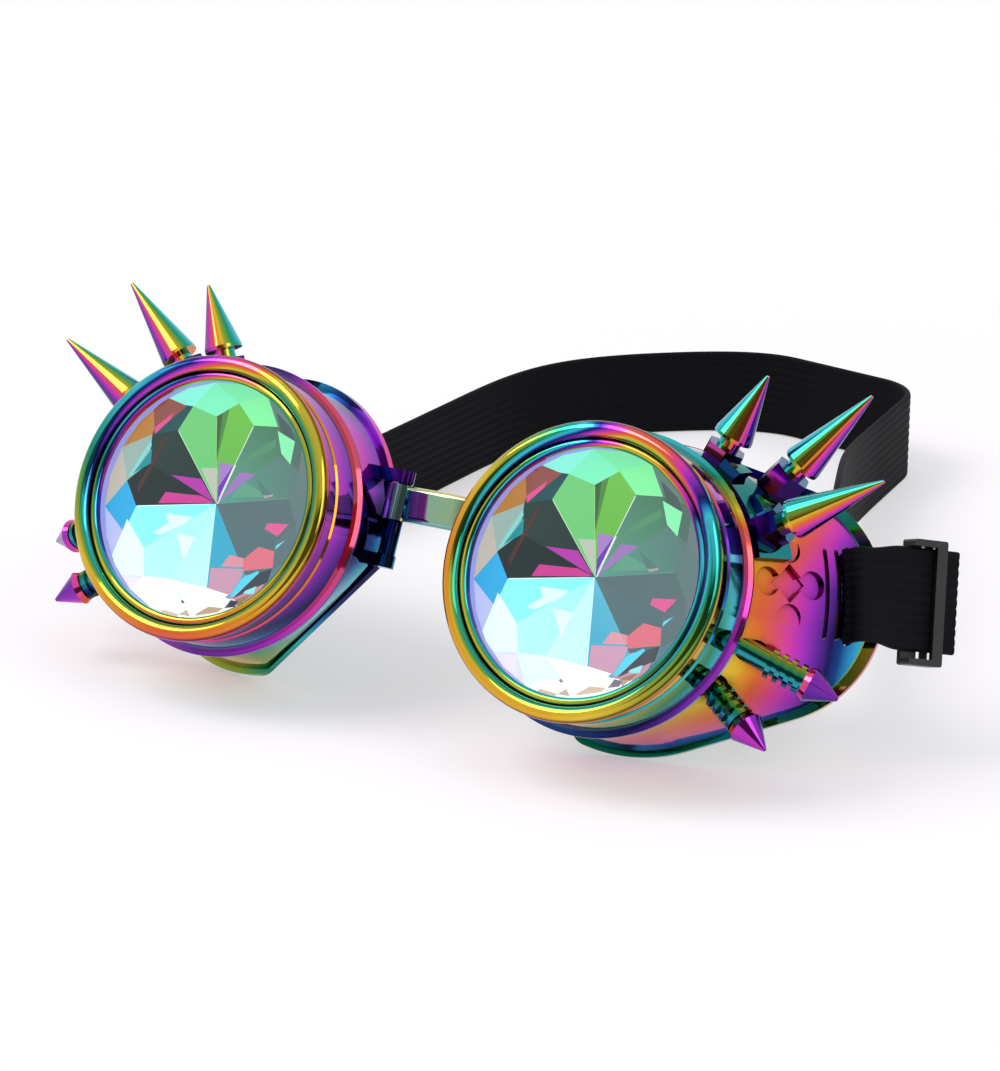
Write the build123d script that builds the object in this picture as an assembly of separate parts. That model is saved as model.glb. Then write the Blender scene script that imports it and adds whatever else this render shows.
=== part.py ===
"""Spiked goggles with faceted kaleidoscope lenses, lying on a table.

Two plated eye cups lean back on the lower edge of their rims. A nose bridge hooks onto a post
of each cup, and an elastic strap runs from cup to cup behind them, standing on its edge.
Left and right are the viewer's, looking at the lenses.

A cup is drawn in its own frame: X away from the nose, Y back from the middle of the lens
opening, Z up. The left cup is the mirror image of the right one. The whole part is then moved
so that its origin is the middle of the bottom of its box. All sizes are in millimetres.
"""
from build123d import *
import os
from math import asin, cos, radians, sin, sqrt, tan

os.makedirs("parts", exist_ok=True)

# How the cups stand
cup_spacing = 86.0             # from one lens axis to the other
lean_back = 26.8               # degrees that the lens axes point above level

# Lens
lens_radius = 25.0
opening_radius = 24.0          # what the ring leaves open
lens_recess = 0.95             # front of the lens behind the opening's edge
lens_edge = 3.0                # thickness at the rim
lens_rise = 4.5                # height of the cut cone behind the rim
facet_count = 12
facet_radius = 24.2            # where the cut starts
star_radius = 17.5             # corners on the edges between main facets
kite_radius = 20.5             # corners at the tips of the main facets

# Gasket and threaded barrel of the cup
gasket_thickness = 1.0
gasket_width = 1.6
barrel_bore = 24.3             # inner radius
barrel_radius = 26.3
thread_clearance = 0.3
thread_pitch = 1.5
thread_turns = 2.0

# Lens ring
lens_slip = 0.25               # radial, between lens and ring
ring_length = 13.0             # from the opening's edge to the back of the lip
inner_bead_height = 0.8
outer_bead_radius = 1.65
outer_bead_reach = 29.0        # the ring's radius over the outer bead
skirt_radius = 27.9
skirt_taper = 0.5
skirt_step = 0.35
skirt_step_depth = 4.6         # where the skirt steps out
skirt_groove = 0.9
lip_radius = 30.0
lip_width = 2.6
lip_round = 0.7

# Eye cup shell
shoulder_gap = 0.3             # between the ring's lip and the cup
neck_radius = 28.2
rim_radius = 31.0
rim_lip = 1.0                  # how far the rim stands out from the shell
rim_thickness = 1.5
rim_depth = 31.0               # rim behind the opening, at the middle of the cup
rim_slant = 10.5               # degrees, the temple side reaching further back
wing_offset = 23.0             # centre of the wing's outline, towards the temple
wing_rise = 4.0
wing_radius = 23.5
wall = 2.2
nose_cut_distance = 25.2       # flat cut for the nose, from the lens axis
nose_cut_angle = 41.0          # degrees below level
nose_cut_round = 4.0

# Strap slots and vent of the wing
slot_height = 19.0
slot_middle = 8.4              # above the lens axis
slot_width = 2.6
slot_lean_angle = 8.8          # upper end towards the lens
slit_width = 1.0
slit_height = 17.5
slot_to_rim = 7.2              # along the wing, from the strap slot to the rim
slit_gap = 2.7                 # between the slit centres
slit_count = 2
vent_along = 10.0              # along the wing, from the neck to the vent's middle
vent_rise = 1.1                # above the strap's middle
vent_hole_radius = 2.8
vent_across = 5.1              # from the vent's middle to its side holes
vent_upright = 6.7             # and to its upper and lower holes
vent_hole_depth = 1.0
vent_star_side = 5.4
vent_star_depth = 1.4

# Bail on the nose side, and the bridge that hooks onto it
post_radius = 1.4
rim_to_post = 1.8              # post axis outside the rim's circle
post_reach = rim_radius + rim_to_post
post_depth = 20.6
bail_top = 12.4
bail_bottom = -2.2
bail_arm = 2.6
bail_thickness = 3.4
bridge_height = 7.2
bridge_top_gap = 0.4
bridge_thickness = 3.4
hook_wall = 1.7
hook_clearance = 0.08
hook_mouth = 2.3
bridge_bow = 1.6               # how far the bar's middle stands forward
bridge_round = 1.1

# Spikes: angle is round the lens axis from the temple, reach is the base's distance from it
bracket_thickness = 1.5
bracket_start = 14.4
bracket_width = 6.4
bracket_first_angle = 20.0
bracket_last_angle = 75.0
link_thickness = 3.3
link_width = 3.6
link_angles = (38.5, 56.0)
link_span_angle = 8.0
nut_across_flats = 7.2
neck_length = 2.2
spike_neck_radius = 2.2
stud_radius = 1.5
stud_slip = 0.05
stud_in_cup = 1.2
spike_base_radius = 3.9
spike_collar = 0.7
spike_tip_radius = 0.35
short_spike_radius = 3.5
short_spike_length = 7.2
short_spike_collar = 1.2
rib_radius = 3.0
rib_core_radius = 2.2
rib_pitch = 2.0
rib_count = 4

# Strap
strap_width = 20.0
strap_thickness = 1.5
strap_slip = 0.3
squeezed_width = 18.4          # where it is bunched in the slot
turn_radius = 1.3
strap_past_slot = 5.0          # inner layer, to where it hangs free
strap_swing_angle = 60.0       # how far it leaves the wing towards the inside of the cup
tail_length = 22.5
tail_widening = 9.4
tail_twist_angle = 7.0         # upper edge towards the outside
sewn_length = 9.0
loop_reach = 220.0             # back of the loop behind the lens row
turn_back_radius = 14.0
run_sections = 10

# Slider on the tail
slider_length = 7.8
slider_height = 24.2
slider_rail = 1.3
slider_bar = 2.4
slider_thickness = 4.0
slider_gap = 0.25
slider_along = 14.8            # its middle from the slot
slider_drop = 0.6              # it hangs down in its play on the strap

overrun = 5.0                  # how far cutters pass through

# The strap's loop on the table, seen from above: across as a share of the cup spacing,
# back as a share of the loop's reach
loop_route_shares = [(-0.826, 0.536), (-0.821, 0.682), (-0.762, 0.845), (-0.523, 0.952),
                     (-0.205, 1.000), (0.198, 0.968), (0.238, 0.838)]
# Middle point of each free run, the same way, and its height as a share from loop to slot
left_run_shares = (-0.930, 0.380, 0.60)
right_run_shares = (0.523, 0.500, 0.50)


# Long spikes: angle round the lens axis, depth of the base and how far it stands off the shell,
# angle of the axis on the right and on the left cup, angle that it tips forward, and length
long_spikes = {
    "upper": dict(angle=65.0, depth=19.2, stand=6.6, aim_angles=(65.5, 65.5), forward_angle=12.0,
                  length=13.8),
    "middle": dict(angle=47.0, depth=24.0, stand=8.85, aim_angles=(50.0, 43.0), forward_angle=9.0,
                   length=19.4),
    "lower": dict(angle=30.2, depth=16.6, stand=7.6, aim_angles=(29.0, 29.0), forward_angle=7.5,
                  length=19.8),
}
short_spikes = {
    "upper": dict(angle=-14.5, depth=21.0, stand=9.1, aim_angles=(-16.9, -16.9), forward_angle=-20.0),
    "lower": dict(angle=-32.9, depth=15.8, stand=9.2, aim_angles=(-35.0, -35.0), forward_angle=3.0),
}

facing = (0, -1, 0)
lens_front = lens_recess
lens_back = lens_front + lens_edge
apex_depth = lens_back + lens_rise
barrel_front = lens_back + gasket_thickness
shoulder = ring_length + shoulder_gap
slant = tan(radians(rim_slant))
half_spacing = cup_spacing / 2


def face_plane(depth):
    """Plane across the lens axis at a depth, seen from the front."""
    return Plane(origin=(0, depth, 0), x_dir=(1, 0, 0), z_dir=facing)


def rim_plane():
    """Plane of the rim: the temple side lies further back."""
    return Plane(origin=(0, rim_depth, 0), x_dir=(1, slant, 0), z_dir=(slant, -1, 0))


def rim_outline(grow):
    """The rim's outline in its plane: a circle and the wing, cut flat for the nose."""
    cup = Circle(rim_radius - rim_lip + grow)
    wing = Pos(wing_offset, wing_rise) * Circle(wing_radius - rim_lip + grow)
    outline = make_hull(cup.edges() + wing.edges())
    side = 2 * rim_radius
    centre = nose_cut_distance - rim_lip + grow + side / 2
    direction = radians(180 + nose_cut_angle)
    towards = (cos(direction), sin(direction))
    nose = Rot(0, 0, nose_cut_angle) * Rectangle(side, 2 * side)
    outline = outline - Pos(centre * towards[0], centre * towards[1]) * nose
    corners = outline.vertices().sort_by_distance((side * towards[0], side * towards[1], 0))[:2]
    return fillet(corners, nose_cut_round)


def cup_body(grow):
    """The cup from its shoulder to its rim as a filled solid, grown outwards."""
    sections = [face_plane(shoulder) * Circle(neck_radius + grow), rim_plane() * rim_outline(grow)]
    return loft(sections, ruled=True)


def wing_line():
    """Where the wing's outside starts and ends at the strap's height, seen from above."""
    start = Vector(sqrt(neck_radius ** 2 - slot_middle ** 2), shoulder, 0)
    rise = slot_middle - wing_rise
    out = wing_offset + sqrt((wing_radius - rim_lip) ** 2 - rise ** 2)
    end = Vector(out * cos(radians(rim_slant)), rim_depth + out * sin(radians(rim_slant)), 0)
    return start, end


wing_start, wing_end = wing_line()
wing_length = (wing_end - wing_start).length
wing_along = (wing_end - wing_start).normalized()
wing_tilt = asin((slot_middle - wing_rise) / (wing_radius - rim_lip))
wing_level = Vector(wing_along.Y, -wing_along.X, 0)
wing_out = wing_level * cos(wing_tilt) + Vector(0, 0, sin(wing_tilt))
wing_up = wing_out.cross(wing_along)

# The slots, the vent and the strap's ends share one frame on the wing, turned round the strap slot
slot_along = wing_length - slot_to_rim
slot_centre = wing_start + Vector(0, 0, slot_middle) + wing_along * slot_along
slot_lean = radians(slot_lean_angle)
strap_along = wing_along * cos(slot_lean) + wing_up * sin(slot_lean)
strap_up = wing_out.cross(strap_along)
slot_row = slot_centre - strap_along * slot_along
wing_plane = Plane(origin=slot_row, x_dir=strap_along, z_dir=wing_out)

# The shell curves away from the flat strap at its edges, so the strap lies deeper inside it
slot_share = slot_along / wing_length
slot_wall = wing_level.X * ((1 - slot_share) * (neck_radius - barrel_bore) + slot_share * wall)
inside_radius = wing_radius - rim_lip - wall
shell_curve = inside_radius - sqrt(inside_radius ** 2 - (squeezed_width / 2) ** 2)
inner_layer = slot_wall + shell_curve + strap_slip + strap_thickness / 2
rim_angle = radians(rim_slant)
rim_reach = wing_level.dot(Vector(cos(rim_angle), sin(rim_angle), 0)) * rim_lip
rim_reach += wing_level.dot(Vector(sin(rim_angle), -cos(rim_angle), 0)) * rim_thickness
outer_layer = rim_reach + strap_slip + strap_thickness / 2
tail_out = wing_out * cos(radians(tail_twist_angle)) - strap_up * sin(radians(tail_twist_angle))
swing = radians(strap_swing_angle)


def ring_of(inner, outer, front, back):
    """A plain ring round the lens axis."""
    return extrude(face_plane(back) * (Circle(outer) - Circle(inner)), amount=back - front)


def disc_of(radius, front, back):
    """A plain disc on the lens axis."""
    return extrude(face_plane(back) * Circle(radius), amount=back - front)


def make_lens():
    """Flat in front, cut behind into facets that meet in one point, like half a jewel."""
    lens = disc_of(lens_radius, lens_front, lens_back) + disc_of(facet_radius, lens_back, apex_depth)
    step = 360 / facet_count
    half_step = radians(step / 2)
    mid_star = star_radius * cos(half_step)
    steeper = (kite_radius - mid_star) / (kite_radius * cos(half_step) - star_radius)
    main_slope = lens_rise / (mid_star + steeper * (facet_radius - star_radius))
    star_slope = steeper * main_slope
    star_depth = apex_depth - main_slope * mid_star
    kite_depth = apex_depth - main_slope * kite_radius
    edge_reach = facet_radius * cos(half_step) - kite_radius
    edge_slope = (kite_depth - lens_back) / edge_reach
    families = [(0, apex_depth, main_slope, step / 2), (star_radius, star_depth, star_slope, 0),
                (kite_radius, kite_depth, edge_slope, step / 2)]
    lowest = (Align.CENTER, Align.CENTER, Align.MIN)
    block = Box(4 * lens_radius, 4 * lens_radius, lens_radius, align=lowest)
    for radius, depth, slope, turn in families:
        for k in range(facet_count):
            round_axis = radians(turn + k * step)
            place = (radius * cos(round_axis), depth, radius * sin(round_axis))
            away = (slope * cos(round_axis), 1, slope * sin(round_axis))
            lens -= Plane(origin=place, z_dir=away) * block
    return lens


def make_gasket():
    return ring_of(barrel_bore, barrel_bore + gasket_width, lens_back, barrel_front)


def make_ring():
    """Screw-on ring: two beads round the opening, a tapered skirt and a lip at its back."""
    bead_middle = outer_bead_reach - outer_bead_radius
    bead_depth = -inner_bead_height / 2
    inner_end = bead_middle - outer_bead_radius
    inner_middle = (opening_radius + inner_end) / 2
    skirt_front = skirt_groove + outer_bead_radius * sin(radians(45)) + bead_depth
    skirt_end = ring_length - lip_width
    step_radius = skirt_radius + skirt_step
    seat = lens_radius + lens_slip
    thread = barrel_radius + thread_clearance
    under_bead = (bead_middle + outer_bead_radius * cos(radians(45)),
                  bead_depth + outer_bead_radius * sin(radians(45)))
    with BuildSketch() as profile:
        with BuildLine():
            Line((opening_radius, lens_front), (opening_radius, 0))
            ThreePointArc((opening_radius, 0), (inner_middle, -inner_bead_height), (inner_end, 0))
            Line((inner_end, 0), (inner_end, bead_depth))
            ThreePointArc((inner_end, bead_depth), (bead_middle, bead_depth - outer_bead_radius),
                          (outer_bead_reach, bead_depth))
            ThreePointArc((outer_bead_reach, bead_depth),
                          (bead_middle + outer_bead_radius * cos(radians(22.5)),
                           bead_depth + outer_bead_radius * sin(radians(22.5))), under_bead)
            Polyline(under_bead, (skirt_radius, skirt_front), (skirt_radius, skirt_step_depth),
                     (step_radius, skirt_step_depth + skirt_step), (step_radius + skirt_taper, skirt_end),
                     (lip_radius - lip_round, skirt_end + lip_round))
            Polyline((lip_radius - lip_round, skirt_end + lip_round),
                     (lip_radius, skirt_end + 2 * lip_round),
                     (lip_radius, ring_length - lip_round), (lip_radius - lip_round, ring_length),
                     (thread, ring_length), (thread, lens_back), (seat, lens_back), (seat, lens_front),
                     (opening_radius, lens_front))
        make_face()
    return revolve(profile.sketch, Axis.Y)


def make_bail():
    """Post on the nose side, held by two arms, that the bridge hooks onto."""
    reach = post_reach
    post = Pos(-reach, post_depth, 0) * Cylinder(post_radius, bail_top - bail_bottom + bail_arm)
    post = Pos(0, 0, (bail_top + bail_bottom) / 2) * post
    arm_length = reach - barrel_bore
    arm_shape = Pos(-reach, post_depth) * Circle(bail_thickness / 2)
    arm_shape += Pos(arm_length / 2 - reach, post_depth) * Rectangle(arm_length, bail_thickness)
    upper = extrude(Plane(origin=(0, 0, bail_top)) * arm_shape, amount=bail_arm)
    lower = extrude(Plane(origin=(0, 0, bail_bottom - bail_arm)) * arm_shape, amount=bail_arm)
    return post + upper + lower


def spike_axis(spike, side):
    """Plane at a spike's base, its normal along the spike's axis. Side 0 is the right cup."""
    angles = spike["angle"], spike["aim_angles"][side], spike["forward_angle"]
    angle, aim, forward = (radians(value) for value in angles)
    out = Vector(cos(angle), 0, sin(angle))
    centre = Vector(0, spike["depth"], 0)
    crossings = cup_body(0).find_intersection_points(Axis(centre, out))
    shell = max((point - centre).length for point, _ in crossings)
    base = centre + out * (shell + spike["stand"])
    along = Vector(cos(aim) * cos(forward), -sin(forward), sin(aim) * cos(forward))
    return Plane(origin=base, x_dir=Vector(0, 1, 0).cross(along), z_dir=along)


def post_of(plane, radius, low, high):
    """A round post on a plane's axis, between two heights."""
    return extrude(plane.offset(low) * Circle(radius), amount=high - low)


def make_cup(side):
    """Threaded barrel, shell, rim, bail, strap slots and vent in one plated moulding."""
    rim_shape = rim_plane() * rim_outline(rim_lip)
    cup = cup_body(0) + extrude(rim_shape, amount=rim_thickness) + make_bail()
    rear = rim_plane() * rim_outline(-wall)
    cavity = loft([face_plane(shoulder) * Circle(barrel_bore), rear], ruled=True)
    cup -= cavity
    cup += ring_of(barrel_bore, barrel_radius, barrel_front, shoulder)
    through = wall + overrun
    slot = wing_plane * Pos(slot_along, 0) * SlotOverall(slot_height, slot_width, rotation=90)
    cup -= extrude(slot, amount=through, both=True)
    for k in range(slit_count):
        middle = slot_along - (k + 1) * slit_gap
        slit = wing_plane * Pos(middle, 0) * SlotOverall(slit_height, slit_width, rotation=90)
        cup -= extrude(slit, amount=through, both=True)
    for across, up in ((vent_across, 0), (-vent_across, 0), (0, vent_upright), (0, -vent_upright)):
        hole = wing_plane * Pos(vent_along + across, up + vent_rise) * Circle(vent_hole_radius)
        cup -= extrude(hole, amount=vent_hole_depth, both=True)
    star = wing_plane * Pos(vent_along, vent_rise) * Rectangle(vent_star_side, vent_star_side, rotation=45)
    cup -= extrude(star, amount=vent_star_depth, both=True)
    sockets = [post_of(spike_axis(spike, side), stud_radius + stud_slip, -rim_radius, 0)
               for spike in long_spikes.values()]
    within = cup_body(-stud_in_cup - stud_slip)
    for socket in sockets:
        cup -= socket - within
    return cup


def make_bracket(side):
    """Strip that follows the shell behind the ring, with raised links between the nuts."""
    sector_reach = 2 * rim_radius

    def between(first, last, front, back):
        corners = [(0, 0)] + [(sector_reach * cos(radians(a)), sector_reach * sin(radians(a)))
                              for a in (first, (first + last) / 2, last)]
        return extrude(face_plane(back) * make_face(Polyline(*corners, close=True)), amount=back - front)

    body = cup_body(0)
    end = bracket_start + bracket_width
    strip = cup_body(bracket_thickness) & between(bracket_first_angle, bracket_last_angle,
                                                  bracket_start, end)
    middle = bracket_start + bracket_width / 2
    for angle in link_angles:
        sector = between(angle - link_span_angle / 2, angle + link_span_angle / 2, middle - link_width / 2,
                         middle + link_width / 2)
        strip += cup_body(link_thickness) & sector
    strip -= body
    for spike in long_spikes.values():
        strip -= post_of(spike_axis(spike, side), stud_radius + stud_slip, -rim_radius, 0)
    return strip


def make_nuts(side):
    """One hexagonal nut under each long spike, seated on the bracket or on the shell."""
    seat = cup_body(0) + make_bracket(side)
    for spike in long_spikes.values():
        seat += post_of(spike_axis(spike, side), stud_radius + stud_slip, -rim_radius, 0)
    clear_of_ring = disc_of(lip_radius + 2 * shoulder_gap, -overrun, shoulder)
    nuts = []
    for spike in long_spikes.values():
        top = spike_axis(spike, side).offset(-neck_length)
        hexagon = RegularPolygon(nut_across_flats / 2, 6, major_radius=False)
        nut = extrude(top * hexagon, amount=-rim_radius) - seat - clear_of_ring
        nuts.append(nut.solids().sort_by(Axis((0, 0, 0), tuple(top.z_dir)))[-1])
    return Compound(children=nuts)


def make_long_spike(spike, side):
    """Sharp cone with a narrow neck, and a stud that goes through the nut into the shell."""
    axis = spike_axis(spike, side)
    cone = loft([axis.offset(spike_collar) * Circle(spike_base_radius),
                 axis.offset(spike["length"]) * Circle(spike_tip_radius)])
    body = cone + post_of(axis, spike_base_radius, 0, spike_collar)
    body += post_of(axis, spike_neck_radius, -neck_length, 0)
    stud = post_of(axis, stud_radius, -rim_radius, -neck_length) - cup_body(-stud_in_cup)
    outer = stud.solids().sort_by(Axis((0, 0, 0), tuple(axis.z_dir)))[-1]
    return body + outer


def make_ribbed_studs(side):
    """Ribbed studs that carry the short spikes, standing on the shell."""
    clear_of_ring = disc_of(lip_radius + 2 * shoulder_gap, -overrun, shoulder)
    shell = cup_body(0)
    studs = []
    for spike in short_spikes.values():
        axis = spike_axis(spike, side)
        stud = post_of(axis, rib_core_radius, -2 * spike["stand"], 0)
        for k in range(rib_count):
            top = -k * rib_pitch - rib_pitch / 4
            stud += post_of(axis, rib_radius, top - rib_pitch / 2, top)
        stud = stud - shell - clear_of_ring
        studs.append(stud.solids().sort_by(Axis((0, 0, 0), tuple(axis.z_dir)))[-1])
    return Compound(children=studs)


def make_short_spike(spike, side):
    """Blunt cone with a flared collar at its base."""
    axis = spike_axis(spike, side)
    collar = loft([axis * Circle(rib_radius), axis.offset(short_spike_collar) * Circle(short_spike_radius)])
    cone = loft([axis.offset(short_spike_collar) * Circle(short_spike_radius),
                 axis.offset(short_spike_length) * Circle(spike_tip_radius)])
    return collar + cone


def make_bridge():
    """Bowed bar with a snap-on hook at each end, drawn between the two posts."""
    pivot = half_spacing - post_reach
    eye_radius = post_radius + hook_clearance + hook_wall
    low = bail_top - bridge_top_gap - bridge_height
    bow = ThreePointArc((-pivot, post_depth), (0, post_depth - bridge_bow), (pivot, post_depth))
    bar = extrude(Plane(origin=(0, 0, low)) * trace(bow, bridge_thickness), amount=bridge_height)
    long_edges = bar.edges().filter_by(GeomType.CIRCLE).filter_by(lambda e: e.length > pivot)
    bar = fillet(long_edges, bridge_round)
    for end in (-pivot, pivot):
        eye = Pos(end, post_depth) * Circle(eye_radius)
        bore = Pos(end, post_depth) * Circle(post_radius + hook_clearance)
        mouth = Pos(end, post_depth + eye_radius) * Rectangle(hook_mouth, 2 * eye_radius)
        bar += extrude(Plane(origin=(0, 0, low)) * eye, amount=bridge_height)
        bar -= extrude(Plane(origin=(0, 0, low)) * (bore + mouth), amount=bridge_height)
    return bar


def strap_layer(points):
    """A flat stretch of strap through points given as lengths along the wing and into the cup."""
    path = FilletPolyline(*points, radius=turn_radius)
    lower_edge = slot_row - strap_up * squeezed_width / 2
    looking_down = Plane(origin=lower_edge, x_dir=strap_along, z_dir=strap_up)
    return extrude(looking_down * trace(path, strap_thickness), amount=squeezed_width)


def make_strap_tail():
    """The strap through the right slot, folded back outside, and its free tail."""
    inner_end = (slot_along + strap_past_slot * cos(swing), inner_layer + strap_past_slot * sin(swing))
    fold_end = slot_along + 2 * turn_radius
    fold = strap_layer([inner_end, (slot_along, inner_layer), (slot_along, -outer_layer),
                        (fold_end, -outer_layer)])
    start = slot_row + strap_along * fold_end + wing_out * outer_layer
    widened = tail_widening - 2 * turn_radius
    end = tail_length - 2 * turn_radius
    planes = (Plane(origin=start, x_dir=wing_out, z_dir=strap_along),
              Plane(origin=start + strap_along * widened, x_dir=tail_out, z_dir=strap_along),
              Plane(origin=start + strap_along * end, x_dir=tail_out, z_dir=strap_along))
    widths = (squeezed_width, strap_width, strap_width)
    sections = [plane * Rectangle(strap_thickness, width) for plane, width in zip(planes, widths)]
    return fold + loft(sections, ruled=True)


def make_strap_loop():
    """The strap through the left slot, folded back and sewn to itself behind the rim."""
    rim_end = wing_length + rim_thickness + strap_thickness + squeezed_width / 2 * tan(slot_lean)
    joined = rim_end + outer_layer + inner_layer
    sewn_end = joined + sewn_length
    beside = inner_layer - strap_thickness
    fold_end = slot_along + 2 * turn_radius
    through = strap_layer([(sewn_end, inner_layer), (slot_along, inner_layer), (slot_along, -outer_layer),
                           (fold_end, -outer_layer)])
    back = strap_layer([(fold_end, -outer_layer), (rim_end, -outer_layer), (joined, beside),
                        (sewn_end, beside)])
    return through + back, sewn_end


def slider_middle():
    middle = slot_row + strap_along * (slot_along + slider_along) + wing_out * outer_layer
    return middle - strap_up * slider_drop


def make_slider():
    """Flat frame on the tail: two bars behind the strap and one in front of it."""
    inside = strap_thickness / 2 + slider_gap
    opening = slider_height - 2 * slider_rail
    bar_depth = slider_thickness / 2 - inside
    frame = Box(slider_length, slider_height, slider_thickness)
    frame -= Box(slider_length + overrun, opening, 2 * inside)
    far = slider_length / 2 - slider_bar
    low, high = Align.MIN, Align.MAX
    frame -= Pos(-slider_length, 0, inside) * Box(slider_length + far, opening, slider_thickness,
                                                  align=(low, Align.CENTER, low))
    window = (slider_length - slider_bar - 2 * slider_rail) / 2
    for k in range(2):
        start = slider_length / 2 - k * (window + slider_rail)
        frame -= Pos(start, 0, -inside) * Box(window, opening, slider_thickness,
                                              align=(high, Align.CENTER, high))
    upright = frame.edges().filter_by(Axis.Z)
    corners = upright.group_by(lambda edge: round(abs(edge.center().X) + abs(edge.center().Y), 3))
    frame = fillet(corners[-1], bar_depth / 2)
    return Plane(origin=slider_middle(), x_dir=strap_along, z_dir=tail_out) * frame


def leaned(shape, middle=0.0):
    """A piece of a cup, leaned back and moved out to its place beside the nose."""
    return Pos(middle, 0, 0) * Rot(-lean_back, 0, 0) * shape


def strap_run(start, turn, tilted, between, end, end_turn):
    """The strap in the air between a cup and the part that stands on its edge."""
    path = Spline(start, between, end, tangents=(turn, end_turn))
    upright = Vector(0, 0, 1)
    sections = []
    for k in range(run_sections + 1):
        share = k / run_sections
        eased = share * share * (3 - 2 * share)
        forward = path % share
        across = tilted * (1 - eased) + upright * eased
        across = across - forward * across.dot(forward)
        side = across.cross(forward)
        width = squeezed_width if k == 0 else strap_width
        section = Plane(origin=path @ share, x_dir=side, z_dir=forward)
        sections.append(section * Rectangle(strap_thickness, width))
    return loft(sections)


def to_place(point, side):
    """Where a point of the right cup stands. Side 0 is the right cup, side 1 the left."""
    lean = radians(lean_back)
    x = half_spacing + point.X
    y = point.Y * cos(lean) + point.Z * sin(lean)
    z = point.Z * cos(lean) - point.Y * sin(lean)
    return Vector(x, y, z) if side == 0 else Vector(-x, y, z)


def make_cup_pieces(side):
    """All pieces of one goggle cup in their places."""
    pieces = {
        "eye_cup": make_cup(side),
        "lens_ring": make_ring(),
        "lens": make_lens(),
        "lens_gasket": make_gasket(),
        "spike_bracket": make_bracket(side),
        "hex_nuts": make_nuts(side),
        "ribbed_studs": make_ribbed_studs(side),
    }
    for name, spike in long_spikes.items():
        pieces["long_spike_" + name] = make_long_spike(spike, side)
    for name, spike in short_spikes.items():
        pieces["short_spike_" + name] = make_short_spike(spike, side)
    if side == 0:
        pieces["strap_tail"] = make_strap_tail()
    else:
        pieces["strap_loop"], _ = make_strap_loop()
        pieces = {name: mirror(shape, about=Plane.YZ) for name, shape in pieces.items()}
    middle = half_spacing if side == 0 else -half_spacing
    sides = ("right", "left")
    return {sides[side] + "_" + name: leaned(shape, middle) for name, shape in pieces.items()}


nodes = {"nose_bridge": leaned(make_bridge())}
nodes.update(make_cup_pieces(1))
nodes.update(make_cup_pieces(0))
nodes["slider"] = leaned(make_slider(), half_spacing)

# The back of the strap stands on its edge, level with the lowest point of the two rims
table = min(nodes[name].bounding_box().min.Z for name in ("left_eye_cup", "right_eye_cup"))
strap_middle = table + strap_width / 2
route = [(across * cup_spacing, back * loop_reach) for across, back in loop_route_shares]
rear, corner, finish = route[-3], route[-2], route[-1]
first_turn = (Vector(*route[1]) - Vector(*route[0])).normalized()
rear_turn = (Vector(*corner) - Vector(*rear)).normalized()
last_turn = (Vector(*finish) - Vector(*corner)).normalized()
wide_arc = Spline(*route[:-2], tangents=((first_turn.X, first_turn.Y), (rear_turn.X, rear_turn.Y)))
tight_end = FilletPolyline(rear, corner, finish, radius=turn_back_radius)
on_table = Plane(origin=(0, 0, table))
middle_line = Wire(wide_arc.edges() + tight_end.edges())
nodes["back_strap"] = extrude(on_table * trace(middle_line, strap_thickness), amount=strap_width)

_, loop_end = make_strap_loop()
leaving = slot_row - wing_out * inner_layer
swung = strap_along * cos(swing) - wing_out * sin(swing)
right_start = to_place(leaving + strap_along * slot_along + swung * strap_past_slot, 0)
left_start = to_place(leaving + strap_along * loop_end, 1)
right_turn = to_place(swung, 0) - to_place(Vector(0, 0, 0), 0)
left_turn = to_place(strap_along, 1) - to_place(Vector(0, 0, 0), 1)
right_up, left_up = (to_place(strap_up, side) - to_place(Vector(0, 0, 0), side) for side in (0, 1))


def waypoint(shares, start):
    """A point of a run as shares of the spacing, the reach and the drop to the table's strap."""
    drop = strap_middle + (start.Z - strap_middle) * shares[2]
    return Vector(shares[0] * cup_spacing, shares[1] * loop_reach, drop)


right_finish = Vector(*finish, strap_middle)
left_finish = Vector(*route[0], strap_middle)
right_between = waypoint(right_run_shares, right_start)
left_between = waypoint(left_run_shares, left_start)
nodes["right_strap_run"] = strap_run(right_start, right_turn, right_up, right_between, right_finish,
                                     -last_turn)
nodes["left_strap_run"] = strap_run(left_start, left_turn, left_up, left_between, left_finish,
                                    first_turn)

boxes = [shape.bounding_box() for shape in nodes.values()]
shift = Vector(-(min(b.min.X for b in boxes) + max(b.max.X for b in boxes)) / 2,
               -(min(b.min.Y for b in boxes) + max(b.max.Y for b in boxes)) / 2,
               -min(b.min.Z for b in boxes))

os.makedirs("parts", exist_ok=True)
for name, shape in nodes.items():
    placed = Pos(*shift) * shape
    placed.label = name
    export_step(placed, "parts/" + name + ".step")

places = {
    "lens row middle": Vector(0, 0, 0),
    "right post": to_place(Vector(-post_reach, post_depth, 0), 0),
    "left post": to_place(Vector(-post_reach, post_depth, 0), 1),
    "right lens": to_place(Vector(0, lens_front, 0), 0),
    "left lens": to_place(Vector(0, lens_front, 0), 1),
    "slider": to_place(slider_middle(), 0),
    "right slot": to_place(slot_centre, 0),
    "left slot": to_place(slot_centre, 1),
    "right run start": right_start,
    "left run start": left_start,
    "right run end": right_finish,
    "left run end": left_finish,
}
print(f"ring travel: {thread_pitch * thread_turns:.3f} in {thread_turns:.0f} turns")
for name, point in places.items():
    at = point + shift
    print(f"{name}: {at.X:.3f} {at.Y:.3f} {at.Z:.3f}")
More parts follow.
